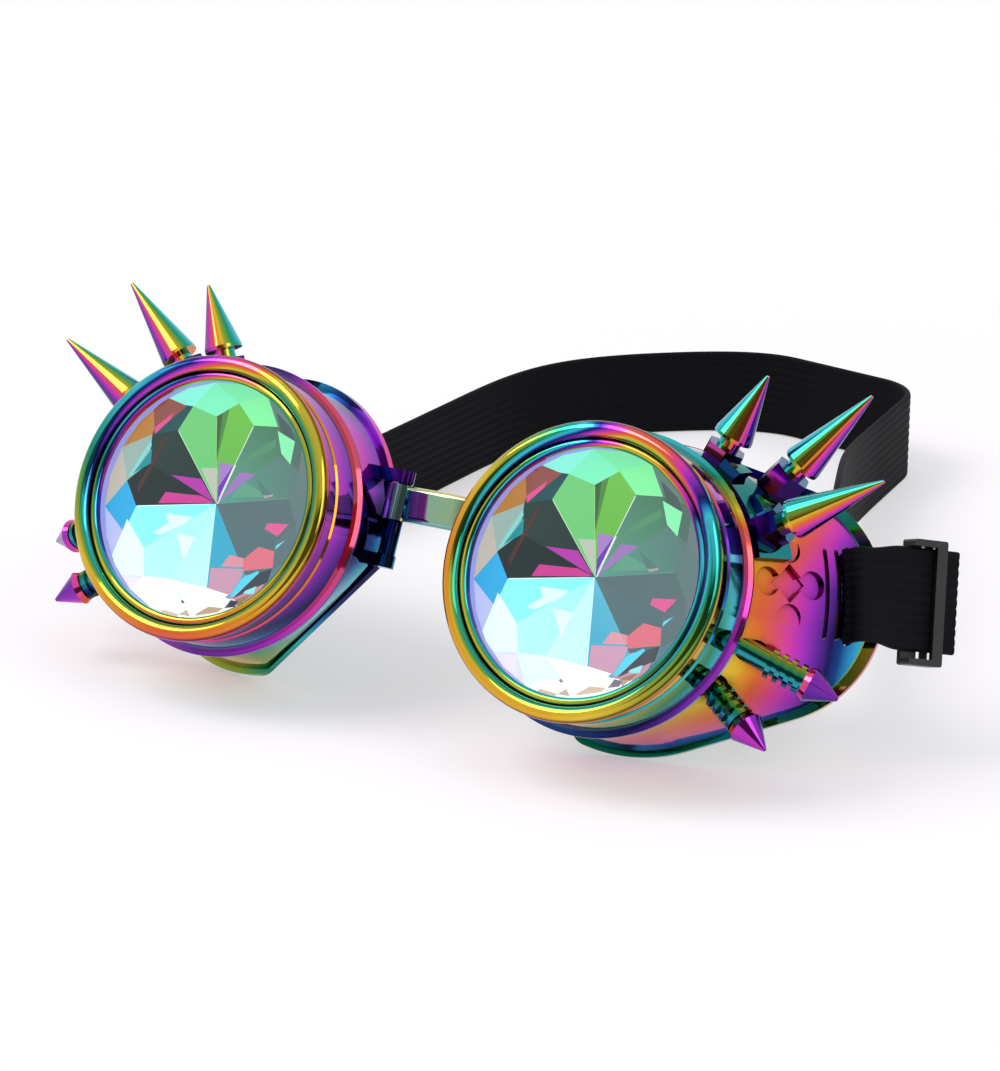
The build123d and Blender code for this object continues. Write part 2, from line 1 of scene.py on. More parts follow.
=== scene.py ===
# %% [markdown]
# # Spiked kaleidoscope goggles
#
# A pair of costume goggles lies on a pale table. Its two round cups are moulded in ABS plastic
# and coated in a vacuum with a thin oxide film, which gives the rainbow colours. A faceted glass
# lens sits in each cup under a screw-on ring, cone spikes stand on the cups, and a ribbed elastic
# strap runs from cup to cup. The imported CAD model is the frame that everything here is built
# around.

# %% Load the frame
import math
from functools import partial

import bmesh
import bpy
import numpy as np
from mathutils import Matrix, Vector


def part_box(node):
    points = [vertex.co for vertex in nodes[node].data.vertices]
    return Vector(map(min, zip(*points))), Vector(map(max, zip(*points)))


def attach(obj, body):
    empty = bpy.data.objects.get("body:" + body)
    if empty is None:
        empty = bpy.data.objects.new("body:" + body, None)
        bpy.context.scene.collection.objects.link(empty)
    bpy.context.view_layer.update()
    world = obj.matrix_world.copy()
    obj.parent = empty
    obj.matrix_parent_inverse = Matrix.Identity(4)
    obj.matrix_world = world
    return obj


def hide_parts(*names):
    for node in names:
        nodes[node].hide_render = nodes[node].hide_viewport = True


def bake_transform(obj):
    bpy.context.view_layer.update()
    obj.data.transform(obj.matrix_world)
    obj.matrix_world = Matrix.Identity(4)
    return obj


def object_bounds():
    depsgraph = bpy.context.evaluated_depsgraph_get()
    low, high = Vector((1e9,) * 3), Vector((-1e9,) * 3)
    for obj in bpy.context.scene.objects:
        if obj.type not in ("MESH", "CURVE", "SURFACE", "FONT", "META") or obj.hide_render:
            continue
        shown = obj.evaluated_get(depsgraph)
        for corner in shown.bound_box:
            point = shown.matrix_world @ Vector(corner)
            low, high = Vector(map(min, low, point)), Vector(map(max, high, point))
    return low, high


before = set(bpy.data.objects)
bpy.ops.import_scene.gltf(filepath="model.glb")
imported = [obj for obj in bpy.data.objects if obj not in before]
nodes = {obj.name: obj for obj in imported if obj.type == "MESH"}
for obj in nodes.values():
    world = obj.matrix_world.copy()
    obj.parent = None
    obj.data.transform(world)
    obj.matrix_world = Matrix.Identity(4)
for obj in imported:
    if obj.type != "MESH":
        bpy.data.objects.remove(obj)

cad_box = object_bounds()
SIDES = ("left", "right")
MM = 0.001


def new_object(name, data):
    """Adds an object to the scene."""
    made = bpy.data.objects.new(name, data)
    bpy.context.scene.collection.objects.link(made)
    return made


# %% [markdown]
# ## Where the cups stand
#
# Both cups lean back on the lower edge of their rims. Most shapes and colour patterns are easier
# to describe in a cup's own frame: X away from the nose, Y back along the lens axis, Z up. The
# packed lens gives the place of that frame, because the lens is flat in front and its size is
# known.

# %% Frame of each cup
LEAN_BACK = math.radians(26.8)
LENS_RADIUS = 25.0 * MM
LENS_FRONT = 0.95 * MM


def cup_frame(side):
    """Matrix from a cup's own frame to the row frame. The left cup is the mirror image."""
    low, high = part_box(side + "_lens")
    away = 1 if side == "right" else -1
    middle_y = low[1] - LENS_FRONT * math.cos(LEAN_BACK) + LENS_RADIUS * math.sin(LEAN_BACK)
    middle_z = high[2] - LENS_RADIUS * math.cos(LEAN_BACK) + LENS_FRONT * math.sin(LEAN_BACK)
    back = (0, math.cos(LEAN_BACK), -math.sin(LEAN_BACK))
    up = (0, math.sin(LEAN_BACK), math.cos(LEAN_BACK))
    return Matrix(((away, back[0], up[0], (low[0] + high[0]) / 2),
                   (0, back[1], up[1], middle_y),
                   (0, back[2], up[2], middle_z),
                   (0, 0, 0, 1)))


cups = {side: cup_frame(side) for side in SIDES}
lens_row = (cups["left"].translation + cups["right"].translation) / 2
print("middle of the lens row, mm:", [round(v / MM, 2) for v in lens_row])

# %% [markdown]
# ## Camera
#
# The photograph looks down from the right at an angle, with a long lens. The numbers come from
# fitting the ellipses of both lens openings. The object stands left of the picture's middle, so
# the camera is shifted sideways a little instead of being turned, which would change the
# perspective.

# %% Camera
CAMERA_AZIMUTH = math.radians(31.2)
CAMERA_ELEVATION = math.radians(18.6)
CAMERA_DISTANCE = 0.8
PHOTO_HEIGHT = 1071  # pixels, and so is the shift
CAMERA_SHIFT = (113.6, -1.5)
PIXELS_PER_MM = 5.168

towards_camera = Vector((math.sin(CAMERA_AZIMUTH) * math.cos(CAMERA_ELEVATION),
                         -math.cos(CAMERA_AZIMUTH) * math.cos(CAMERA_ELEVATION),
                         math.sin(CAMERA_ELEVATION)))
camera_data = bpy.data.cameras.new("photo_camera")
camera_data.sensor_fit = "VERTICAL"
camera_data.sensor_height = 24
camera_data.lens = (PIXELS_PER_MM * CAMERA_DISTANCE / MM / PHOTO_HEIGHT
                    * camera_data.sensor_height)
camera_data.shift_x, camera_data.shift_y = (pixels / PHOTO_HEIGHT for pixels in CAMERA_SHIFT)
camera_data.clip_start = 0.01
camera_data.clip_end = 20
camera = new_object("photo_camera", camera_data)
camera.location = lens_row + towards_camera * CAMERA_DISTANCE
camera.rotation_euler = towards_camera.to_track_quat("Z", "Y").to_euler()
bpy.context.scene.camera = camera
print("camera lens, mm:", round(camera_data.lens, 1))

# %% [markdown]
# ## Materials as node trees
#
# Every material is a node tree. One small helper adds a node with its settings and its links, and
# one function turns the sRGB hex values, as a colour picker shows them, into the linear values
# that Blender calculates with.


# %% Material helpers
def linear(hex_value):
    """Linear RGBA of an sRGB hex value such as "2a9fd6"."""
    channels = [int(hex_value[i:i + 2], 16) / 255 for i in (0, 2, 4)]
    return [c / 12.92 if c <= 0.04045 else ((c + 0.055) / 1.055) ** 2.4 for c in channels] + [1.0]


def connect(tree, node, inputs):
    """Sets inputs of a node by name or index. A socket is linked, any other value is stored."""
    for key, value in inputs.items():
        if isinstance(value, bpy.types.NodeSocket):
            tree.links.new(value, node.inputs[key])
        else:
            node.inputs[key].default_value = value


def add(tree, kind, inputs=None, **settings):
    """Adds a node with its inputs and its own fields."""
    node = tree.nodes.new(kind)
    for name, value in settings.items():
        setattr(node, name, value)
    connect(tree, node, inputs or {})
    return node


def new_material(name, inputs=None):
    """A material with its output and its shader, whose inputs may be given."""
    material = bpy.data.materials.new(name)
    material.use_nodes = True
    tree = material.node_tree
    tree.nodes.clear()
    shader = add(tree, "ShaderNodeBsdfPrincipled", inputs)
    add(tree, "ShaderNodeOutputMaterial", {"Surface": shader.outputs["BSDF"]})
    return material, tree, shader


def calc(tree, operation, first, second=0.0, third=0.0):
    """Result of one Math node."""
    return add(tree, "ShaderNodeMath", {0: first, 1: second, 2: third},
               operation=operation).outputs[0]


def dot(tree, vector, direction):
    """Length of a vector socket along a fixed direction."""
    return add(tree, "ShaderNodeVectorMath", {0: vector, 1: direction},
               operation="DOT_PRODUCT").outputs["Value"]


def product(tree, first, second):
    """Product of two colours."""
    return add(tree, "ShaderNodeVectorMath", {0: first, 1: second},
               operation="MULTIPLY").outputs[0]


def ramp(tree, factor, stops):
    """Colour ramp through stops of (position, hex or grey value)."""
    node = add(tree, "ShaderNodeValToRGB", {"Fac": factor})
    elements = node.color_ramp.elements
    while len(elements) < len(stops):
        elements.new(0.5)
    for element, (position, value) in zip(elements, stops):
        element.position = position
        element.color = linear(value) if isinstance(value, str) else (value, value, value, 1)
    return node.outputs["Color"]


print("sRGB 808080 in linear light:", round(linear("808080")[0], 3))

# %% [markdown]
# ## Rainbow plating
#
# The plating is a mirror with a clear oxide film on it. Light that bounces off both sides of the
# film interferes, so the colour depends on the film's thickness and on the angle of the surface.
# Round a piece the colours always follow in the same order: cyan, green, yellow, orange, magenta,
# violet, blue and cyan again. The material therefore works out one number, the phase, from the
# place and the direction of the surface, and looks the colour up in one ring of colours. The part
# that comes from the direction of the surface is painted reflection, for the way the film's colour
# shifts with the angle at which it mirrors the room. The navy and olive bands of the ring are
# drawn dark, as painted shade and painted reflection of the dark room.

# %% The ring of film colours
# The navy and olive stops are dark: painted shade and painted reflection of the dark room.
FILM_AND_SHADE_COLOURS = [
    (0.00, "3fb9c6"), (0.08, "2f9f9b"), (0.15, "1f8a6b"), (0.22, "5f9a3f"), (0.29, "9c9a34"),
    (0.36, "d9b93a"), (0.43, "d8902a"), (0.50, "d8643a"), (0.57, "d8506e"), (0.64, "cc3fa6"),
    (0.71, "a034b8"), (0.78, "5f2c96"), (0.84, "1f1c55"), (0.89, "1c3f80"), (0.95, "2f8fc0"),
    (1.00, "3fb9c6")]
print("film colours in the ring:", len(FILM_AND_SHADE_COLOURS) - 1)

# %% [markdown]
# ## One material for all plated pieces
#
# The phase is a sum, all in the cup's own frame: an offset, a curve round the lens axis, a curve
# of the tilt across a bead, cycles per metre outwards, how far the surface faces some way, its
# place and a curve of its depth. The tilt curve and the facing are painted reflection. Narrow dark
# lines across a polished bead are painted reflections of the dark room. Within the recess distance
# of another wall the colour is darkened by ambient occlusion, painted shade where a mirror would
# see only that wall.

# %% Plating material
RIM_SLANT = math.radians(10.5)
DEPTH_SPAN = 40 * MM
PLATING_ROUGHNESS = 0.07
RECESS_SHADE = [(0.35, 0.12), (0.85, 1.0)]


def around_ramp(tree, turn, curve):
    """Phase from a curve of (degrees, cycles) that reaches from -180 to 180 degrees."""
    lowest = min(cycles for _, cycles in curve)
    highest = max(cycles for _, cycles in curve)
    span = highest - lowest
    stops = [((degrees + 180) / 360, (cycles - lowest) / span) for degrees, cycles in curve]
    return calc(tree, "MULTIPLY_ADD", ramp(tree, turn, stops), span, lowest)


def plating(name, side, offset=0.0, around=None, section=None, outwards=0.0, facing=None,
            place=None, lines=None, depths=None, tone=1.0, lift=0.0, recess=0.0):
    """Rainbow plating with painted reflection and painted shade. Lines are painted reflections of
    the dark room, as (degrees of tilt, width, brightness), depths are (mm towards the rim, cycles),
    the tone darkens the whole film and the lift pales it. The recess is the reach of the painted
    shade."""
    material, tree, shader = new_material(name)
    value = partial(calc, tree)
    coordinates = add(tree, "ShaderNodeTexCoord")
    axes = [cups[side].to_3x3().col[i] for i in range(3)]
    centred = add(tree, "ShaderNodeVectorMath",
                  {0: coordinates.outputs["Object"], 1: cups[side].translation},
                  operation="SUBTRACT").outputs[0]
    normal = coordinates.outputs["Normal"]
    phase = value("ADD", offset, 0.0)
    x, z = (dot(tree, centred, axes[i]) for i in (0, 2))
    if around:
        turn = value("MULTIPLY_ADD", value("ARCTAN2", z, x), 1 / math.tau, 0.5)
        phase = value("ADD", phase, around_ramp(tree, turn, around))
    if section or lines or outwards:
        radius = value("SQRT", value("ADD", value("MULTIPLY", x, x), value("MULTIPLY", z, z)))
        normal_x, normal_z = (dot(tree, normal, axes[i]) for i in (0, 2))
        across = value("ADD", value("MULTIPLY", normal_x, x), value("MULTIPLY", normal_z, z))
        across = value("DIVIDE", across, radius)
        forwards = dot(tree, normal, -axes[1])
        tilt = value("DIVIDE", value("ARCTAN2", across, forwards), math.pi)
        tilt = value("MULTIPLY_ADD", tilt, 0.5, 0.5)
        # The tilt curve is painted reflection: colour by the angle of the surface across a bead.
        if section:
            phase = value("ADD", phase, around_ramp(tree, tilt, section))
        phase = value("MULTIPLY_ADD", radius, outwards, phase)
    # The facing is painted reflection, by the direction of the surface.
    for scales, vector in ((facing, normal), (place, centred)):
        if scales:
            way = sum((axes[i] * scales[i] for i in range(3)), Vector())
            phase = value("ADD", phase, dot(tree, vector, way))
    if depths:
        deep = dot(tree, centred, axes[1] - axes[0] * math.tan(RIM_SLANT))
        deep = value("DIVIDE", deep, DEPTH_SPAN)
        stops = [(mm * MM / DEPTH_SPAN, cycles) for mm, cycles in depths]
        phase = value("ADD", phase, ramp(tree, deep, stops))
    film_and_painted_light = ramp(tree, value("FRACT", phase), FILM_AND_SHADE_COLOURS)
    if tone != 1.0:
        film_and_painted_light = add(tree, "ShaderNodeVectorMath", {0: film_and_painted_light, 1: (tone,) * 3, 2: (lift,) * 3},
                   operation="MULTIPLY_ADD").outputs[0]
    # Painted reflection: narrow dark lines by the tilt, where a bead would mirror the dark room.
    if lines:
        grey = [(0.0, 1.0)]
        for degrees, width, brightness in lines:
            at = degrees / 360 + 0.5
            grey += [(at - width, 1.0), (at, brightness), (at + width, 1.0)]
        film_and_painted_light = product(tree, film_and_painted_light, ramp(tree, tilt, grey + [(1.0, 1.0)]))
    # Painted shade: ambient occlusion darkens the colour in recesses.
    if recess:
        open_sky = add(tree, "ShaderNodeAmbientOcclusion", {"Distance": recess}, samples=4)
        film_and_painted_light = product(tree, film_and_painted_light, ramp(tree, open_sky.outputs["AO"], RECESS_SHADE))
    connect(tree, shader, {"Base Color": film_and_painted_light, "Metallic": 1.0, "Roughness": PLATING_ROUGHNESS})
    return material


def dress(node, material):
    """Gives a CAD node its material."""
    mesh = nodes[node].data
    mesh.materials.clear()
    mesh.materials.append(material)


print("the phase reaches over", DEPTH_SPAN / MM, "mm of depth")

# %% [markdown]
# ## Plated pieces
#
# The film colour on the rings changes quickly near the top. The curves are in the cup's own
# frame, with the temple at 0 degrees, the top at 90 and the nose at 180. On the cones the colours
# cross from one flank to the other as painted reflection, by the direction of the surface: right
# and down on the right cup, and the other way round on the left one.

# %% Plated pieces
RING_CURVES = {
    "right": [
        (-180, 0.37), (-135, 0.33), (-90, 0.32), (-60, 0.26), (-40, 0.20), (-20, 0.16), (0, 0.08),
        (15, 0.0), (30, -0.05), (40, -0.25), (48, -0.34), (55, -0.44), (65, -0.56), (82, -0.54),
        (90, -0.34), (97, -0.18), (105, 0.0), (115, 0.10), (130, 0.20), (150, 0.29), (180, 0.37)],
    "left": [
        (-180, 0.34), (-150, 0.40), (-120, 0.50), (-90, 0.55), (-60, 0.47), (-30, 0.38), (0, 0.25),
        (30, 0.10), (55, 0.0), (72, -0.12), (90, -0.38), (103, -0.42), (118, -0.64), (150, -0.66),
        (180, -0.66)]}
BEAD_CURVE = [(-180, -0.52), (-90, -0.5), (-45, -0.26), (0, 0.0), (60, 0.0), (90, 0.3), (180, 0.4)]
CUP_CURVES = {
    "right": [
        (-180, 0.73), (-120, 0.66), (-90, 0.45), (-60, 0.19), (-35, 0.03), (-20, 0.05),
        (-10, 0.12), (0, 0.17), (12, 0.18), (22, 0.12), (32, 0.05), (60, -0.11), (90, 0.0),
        (180, 0.33)],
    "left": [
        (-180, 0.86), (-150, 0.88), (-130, 0.98), (-110, 1.12), (-90, 1.28), (-45, 1.36),
        (0, 1.30), (45, 1.10), (90, 1.0), (110, 0.90), (130, 0.75), (150, 0.72), (180, 0.86)]}
# What differs between the sides. The skirt and away are cycles per metre back and away from the
# nose, barrel is the brightness of a painted reflection line on the ring, and the slant is the way
# of the painted reflection on the long spikes.
PLATING = {"left": {"flip": -1, "skirt": 18, "barrel": 0.55, "rim step": -0.2, "away": 0.0,
                    "slant": (0.27, -0.12, -0.355)},
           "right": {"flip": 1, "skirt": -40, "barrel": 1.0, "rim step": 0.52, "away": 13.6,
                     "slant": (0.37, 0.225, -0.185)}}
for side in SIDES:
    own = PLATING[side]
    flip, rim_step = own["flip"], own["rim step"]
    looks = {
        # The ring's dark lines are painted reflection; the darkening in the cup's recesses is
        # painted shade.
        "lens_ring": ("ring_rainbow", dict(
            offset=-0.28, around=RING_CURVES[side], section=BEAD_CURVE, outwards=10.0,
            place=(0, own["skirt"], 0), lines=[(62, 0.055, 0.1), (92, 0.012, own["barrel"])])),
        "eye_cup": ("cup_rainbow", dict(
            offset=-0.12, around=CUP_CURVES[side],
            depths=[(12, 0.0), (29.2, 0.30), (29.5, 0.30 + rim_step), (33, 0.36 + rim_step)],
            facing=(0.08, 0.05, -0.08), place=(own["away"], 0, 0), recess=2.5 * MM)),
        "spike_bracket": ("bracket_rainbow", dict(offset=0.90, tone=0.5, facing=(0.12, 0, 0.12))),
        "hex_nuts": ("nut_rainbow", dict(offset=0.84, tone=0.55, facing=(0.08, 0.06, 0.06))),
        "ribbed_studs": ("stud_rainbow", dict(offset=0.15, tone=0.6, facing=(0.2, 0.1, 0.2)))}
    for spike in ("long_spike_upper", "long_spike_middle", "long_spike_lower"):
        looks[spike] = (spike, dict(offset=0.43, facing=own["slant"]))
    for spike in ("short_spike_upper", "short_spike_lower"):
        looks[spike] = (spike, dict(offset=0.65 + 0.05 * flip, facing=(0.16, 0.1 * flip, -0.08)))
    for piece, (label, look) in looks.items():
        dress(side + "_" + piece, plating(side + "_" + label + "_plating", side, **look))
dress("nose_bridge", plating("bridge_rainbow_plating", "right", offset=0.54,
                             facing=(0.0, 0.05, 0.18), place=(7, 0, 0), tone=0.72, lift=0.2))
print("plated pieces:", sum("plating" in m.name for m in bpy.data.materials))

# %% [markdown]
# ## Faceted lens
#
# The lens is a flat disc of glass whose back is cut into twelve kites that meet in one point,
# with more facets between them and the rim. A dichroic film behind the facets gives each one its
# own colour. Looking into real glass, the facets seem a third nearer than they are, so the front
# of this piece is the cut pattern at the depth where the eye sees it, and its back is the true
# cut. Through each facet one also sees pieces of its neighbours. These are painted as sharp
# splinters of other colours, painted reflections, among them a few painted highlights and strips
# of painted shade beside the ridges, so the pattern is cut along their outlines, as a jigsaw of
# flat pieces without gaps.

# %% Lens sizes and colours, in millimetres
FACETS = 12
APEX, EDGE = 8.45, 3.95  # depths of the point and of the rim
STAR_RADIUS, KITE_RADIUS, FACET_RADIUS = 17.5, 20.5, 24.2
RIM_INSIDE, RIM_OUTSIDE = 24.6, 24.95
RIM_SLIP = 0.02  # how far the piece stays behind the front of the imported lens
RIM_EDGE = "8f96dc"
GLASS_INDEX = 1.52
TURNED = math.radians(12)  # how far the loose disc is turned in its seat
# Colours near the point and near the rim, for the facets in order, from the right-hand side upwards
KITE_FILMS = [
    ("4f9a88", "56716e"), ("5b9a86", "3c7050"), ("5fb045", "6cc048"), ("66c470", "6ecb78"),
    ("132c2a", "1a3a36"), ("0c2426", "12282a"), ("84fcff", "8ef8ff"), ("9cffff", "b8ffff"),
    ("a8ffff", "c4ffff"), ("2aa8c6", "3aa4c4"), ("526e73", "4a6a72"), ("50696d", "546f70")]
STAR_FILMS = [
    ("566f70", "5c7a7a"), ("527a66", "486a60"), ("84f5a8", "80f0a0"), ("74ecb8", "7cf2c0"),
    ("0f5a62", "1a4a50"), ("1a9a9f", "9fb8ae"), ("38b8ec", "2fa8e0"), ("c0ffff", "d4f8ff"),
    ("ccffff", "e0ffff"), ("d0ffff", "f0ffff"), ("3aa8c6", "c88aa0"), ("507078", "586f74")]
RIM_FILMS = [
    ("5a7072", "66787c"), ("4f7064", "5f7f78"), ("80f0ae", "78e8a8"), ("70f0d4", "8af5e0"),
    ("b06f3c", "b8803f"), ("b8b0a0", "c0bcb0"), ("b8c4e0", "b5c0f2"), ("b8c4f4", "dce4fb"),
    ("ecf6ff", "ffffff"), ("ffffff", "f0f4f0"), ("3c4a54", "56808c"), ("5a6f74", "66757c")]
# Kites whose ridge gets a painted highlight, with its colour
RIDGES = {0: "5f9484", 2: "d6f5e0", 3: "8fd880", 4: "b8e4c0", 6: "e8ffff", 9: "d8f8ff"}
# Splinters are painted reflections of neighbouring facets, with a few painted highlights and
# painted shade strips.
# Splinters: a colour and the corners in mm to the right of the lens axis and above it
SPLINTERS = [
    ("b5c0b0", [(0.2, 0), (-1.2, 7), (-4.9, 6.5)]),
    ("35603a", [(-1.7, 8), (-2.3, 18), (-3.6, 17.1)]),
    ("4a853f", [(-1.7, 8), (-0.9, 19.1), (-2.3, 18)]),
    ("a07cc4", [(-0.2, 3.4), (2.4, 8.2), (-1.1, 8.3)]),
    ("6a2fb0", [(2.4, 8.2), (-0.2, 3.4), (0.2, 0)]),
    ("efe6f5", [(0.5, 0.1), (3, 8.3), (2.6, 8.2), (0.2, 0)]),
    ("4f8f6a", [(4.2, 8.2), (11.6, 13.2), (11.2, 14.8), (6.1, 11.2)]),
    ("9a72b8", [(0.6, 0.5), (8.1, 7.2), (4.2, 7)]),
    ("5c9c84", [(12.4, 3.3), (5.5, 5.4), (3.2, 1.7)]),
    ("4f7a72", [(10.8, 3.3), (13.2, 3.8), (8.4, 6.4)]),
    ("a89aa0", [(11.5, 2.8), (13.3, 3.4), (13.3, 3.9), (11, 3.2)]),
    ("c83a92", [(-12.5, -2.2), (-0.3, 0.1), (-3.7, 1), (-11.5, 0.3)]),
    ("b030a8", [(-2.6, 0.9), (-0.5, 0.3), (-4.4, 4.3), (-11.1, 3.9)]),
    ("4a2a28", [(-17.9, 0), (-17.3, -1), (-13.9, 10.8), (-14.5, 11.2)]),
    ("8f4f48", [(-18.1, 17.7), (-16.8, 11.4), (-10.7, 18.1), (-16.4, 19.2)]),
    ("e0508f", [(-17, 12.6), (-16.6, 11.4), (-13.7, 14.9), (-13.4, 16.2)]),
    ("7fd6d2", [(-20.5, 1.8), (-19.7, 2.2), (-16.8, 8.9), (-17.2, 10)]),
    ("1a8f98", [(-19.5, 2.7), (-16.2, 5.4), (-16.6, 8.4)]),
    ("d9ffff", [(-9.1, -5.6), (-5.6, -5.2), (-4.3, -3.5), (-10.4, -3.9)]),
    ("d9ffff", [(-5.6, -5.2), (-9.1, -5.6), (-11.9, -8.2), (-10.1, -8.4)]),
    ("dcfffb", [(-3.4, -12.5), (-2.5, -7.5), (-6.7, -7.4)]),
    ("e8e4fb", [(-13, -21.5), (-9.8, -22), (-11.2, -17.7), (-17.2, -18.2)]),
    ("e4fafb", [(-17, -18.1), (-11.1, -17.1), (-13.1, -11.5), (-18.3, -6.6), (-19.3, -15.3)]),
    ("b39a75", [(-0.9, -24), (-0.6, -23.3), (-4.3, -23), (-4.9, -23.7)]),
    ("a08868", [(2.1, -23.3), (0.9, -22), (-0.7, -23.4)]),
    ("b39a75", [(8.1, -21.3), (9, -20.3), (4.5, -20.7), (3, -23)]),
    ("27304a", [(-0.7, -21.1), (0, -20.8), (-0.8, -20.2), (-1.3, -20.7)]),
    ("ffffff", [(-5.2, -16.8), (-1, -20.2), (2.8, -22.9), (9.3, -17.4), (4.1, -17)]),
    ("d5909f", [(5.5, -12.2), (10.9, -11.5), (10.2, -9.7), (6.7, -9.6)]),
    ("d9707f", [(10.2, -10), (11.1, -12.2), (17.7, -10.5), (17, -7.2), (13, -6.9)]),
    ("c595b0", [(4, -17), (9.5, -17.5), (10.9, -13.8), (11, -11.8), (3.3, -12.9)]),
    ("d85f95", [(13.3, -3.2), (16.8, -4.2), (18.8, -1.4), (13.6, -2)]),
    ("4ad4ec", [(9.6, -17.5), (10.4, -17.8), (14.8, -12), (14.4, -11.6), (11.1, -13.8)]),
    ("303c48", [(10.4, -18.1), (17.5, -13.5), (17.6, -10.7), (14.8, -12)]),
    ("8fe4e6", [(12.5, -16.6), (15, -16.5), (15.2, -14.7), (12.9, -16)]),
    ("9a7458", [(12.2, -19.5), (14.9, -16.2), (11.1, -18.2)]),
    ("2b2a4a", [(11.6, -19.6), (12, -18.4), (10.1, -18.4), (9.2, -20.3)]),
    ("86efb0", [(13.2, 12.1), (15.9, 10.3), (16, 14.9), (11.3, 16.4)]),
    ("3f5a55", [(12.1, 16.3), (16, 14.9), (14.5, 17.4), (10.3, 20)]),
    ("6fdde0", [(17.1, -6.9), (19, -4.6), (17.1, -6)]),
]
print("facets:", FACETS * 4, "splinters:", len(SPLINTERS), "ridges that glint:", len(RIDGES))

# %% [markdown]
# ## Cutting the pattern
#
# Every facet and splinter is convex. A facet is cut along each side of a splinter in turn. What
# falls away stays a piece of the facet, and what is left takes the splinter's colour.


# %% Cutting the pattern
SMALLEST_AREA = 1e-3  # square mm


def sides(corners):
    """Each corner with the next one."""
    return zip(corners, corners[1:] + corners[:1])


def side_of(point, start, end):
    """Positive where the point lies left of the line from start to end."""
    return (end[0] - start[0]) * (point[1] - start[1]) - (end[1] - start[1]) * (point[0] - start[0])


def half_of(polygon, start, end, left):
    """The part of a convex polygon on one side of a line."""
    kept = []
    for a, b in sides(polygon):
        da, db = side_of(a, start, end), side_of(b, start, end)
        if not left:
            da, db = -da, -db
        if da >= 0:
            kept.append(a)
        if da * db < 0:
            t = da / (da - db)
            kept.append((a[0] + (b[0] - a[0]) * t, a[1] + (b[1] - a[1]) * t))
    return kept


def area_of(polygon):
    """Area inside a polygon, positive when its corners run anticlockwise."""
    return sum(a[0] * b[1] - a[1] * b[0] for a, b in sides(polygon)) / 2


def too_small(polygon):
    """Whether a polygon isn't worth a piece."""
    return len(polygon) < 3 or area_of(polygon) < SMALLEST_AREA


def cut_out(parts, shape, colour):
    """Cuts a splinter's outline out of all parts and colours what lies inside it."""
    next_parts = []
    for polygon, own in parts:
        inside, rest = polygon, []
        for start, end in sides(shape):
            outside = half_of(inside, start, end, False)
            if too_small(outside):
                continue
            inside = half_of(inside, start, end, True)
            if too_small(inside):
                inside = None
                break
            rest.append((outside, own))
        next_parts += rest + [(inside, (colour, colour))] if inside else [(polygon, own)]
    return next_parts


def ridge_lines():
    """Thin strips along the ridges between the kites: painted highlights
    for the glint of a polished round ridge.
    """
    strips = []
    for k, colour in RIDGES.items():
        angle = k * math.tau / FACETS + TURNED
        x, z = math.cos(angle), math.sin(angle)
        strips.append((colour, [(x * far + z * half, z * far - x * half) for far, half in
                                ((1.2, 0.04), (17.3, 0.1), (17.3, -0.1), (1.2, -0.04))]))
    return strips


def lens_facets():
    """The cut of the lens: rows of (corners with their depths, colours)."""
    half = math.pi / FACETS
    middle = STAR_RADIUS * math.cos(half)
    rise = (KITE_RADIUS - middle) / (KITE_RADIUS * math.cos(half) - STAR_RADIUS)
    slope = (APEX - EDGE) / (middle + rise * (FACET_RADIUS - STAR_RADIUS))
    star, kite = APEX - slope * middle, APEX - slope * KITE_RADIUS

    def corner(radius, step, depth):
        """A corner of the cut. One step is the angle of one kite."""
        angle = step * math.tau / FACETS + TURNED
        return (radius * math.cos(angle), radius * math.sin(angle), depth)

    facets = []
    for k in range(FACETS):
        star_a, star_b = (corner(STAR_RADIUS, k + s, star) for s in (0, 1))
        kite_a, kite_b = (corner(KITE_RADIUS, k + s, kite) for s in (-0.5, 0.5))
        rim_a, rim_middle, rim_b = (corner(FACET_RADIUS, k + s, EDGE) for s in (0, 0.5, 1))
        facets += [([(0.0, 0.0, APEX), star_a, kite_b, star_b], KITE_FILMS[k]),
                   ([star_a, kite_a, rim_a, kite_b], STAR_FILMS[k]),
                   ([kite_b, rim_a, rim_middle], RIM_FILMS[k]),
                   ([kite_b, rim_middle, rim_b], RIM_FILMS[k])]
    return facets


def jigsaw():
    """The facets, cut along the splinters: rows of (corners with their depths, colours)."""
    splinters = SPLINTERS + ridge_lines()
    pieces = []
    for corners, colours in lens_facets():
        outline = [c[:2] for c in corners]
        if area_of(outline) < 0:
            outline.reverse()
        a, b, c = (np.array(p) for p in corners[:3])
        plane = np.cross(b - a, c - a)
        parts = [(outline, colours)]
        for colour, shape in splinters:
            parts = cut_out(parts, shape, colour)
        for polygon, own in parts:
            depths = [float(a[2] - (plane[0] * (p[0] - a[0]) + plane[1] * (p[1] - a[1])) / plane[2])
                      for p in polygon]
            pieces.append(([(*p, d) for p, d in zip(polygon, depths)], own))
    return pieces


loose_pattern = jigsaw()
print("pieces of the pattern:", len(loose_pattern))

# %% [markdown]
# ## Closing the seams
#
# Corners that all but touch become one, and a corner on a neighbour's edge is put into that edge.
# After that the pieces share all their edges and no seam is open.

# %% Shared corners
CORNER_REACH = 0.004  # mm


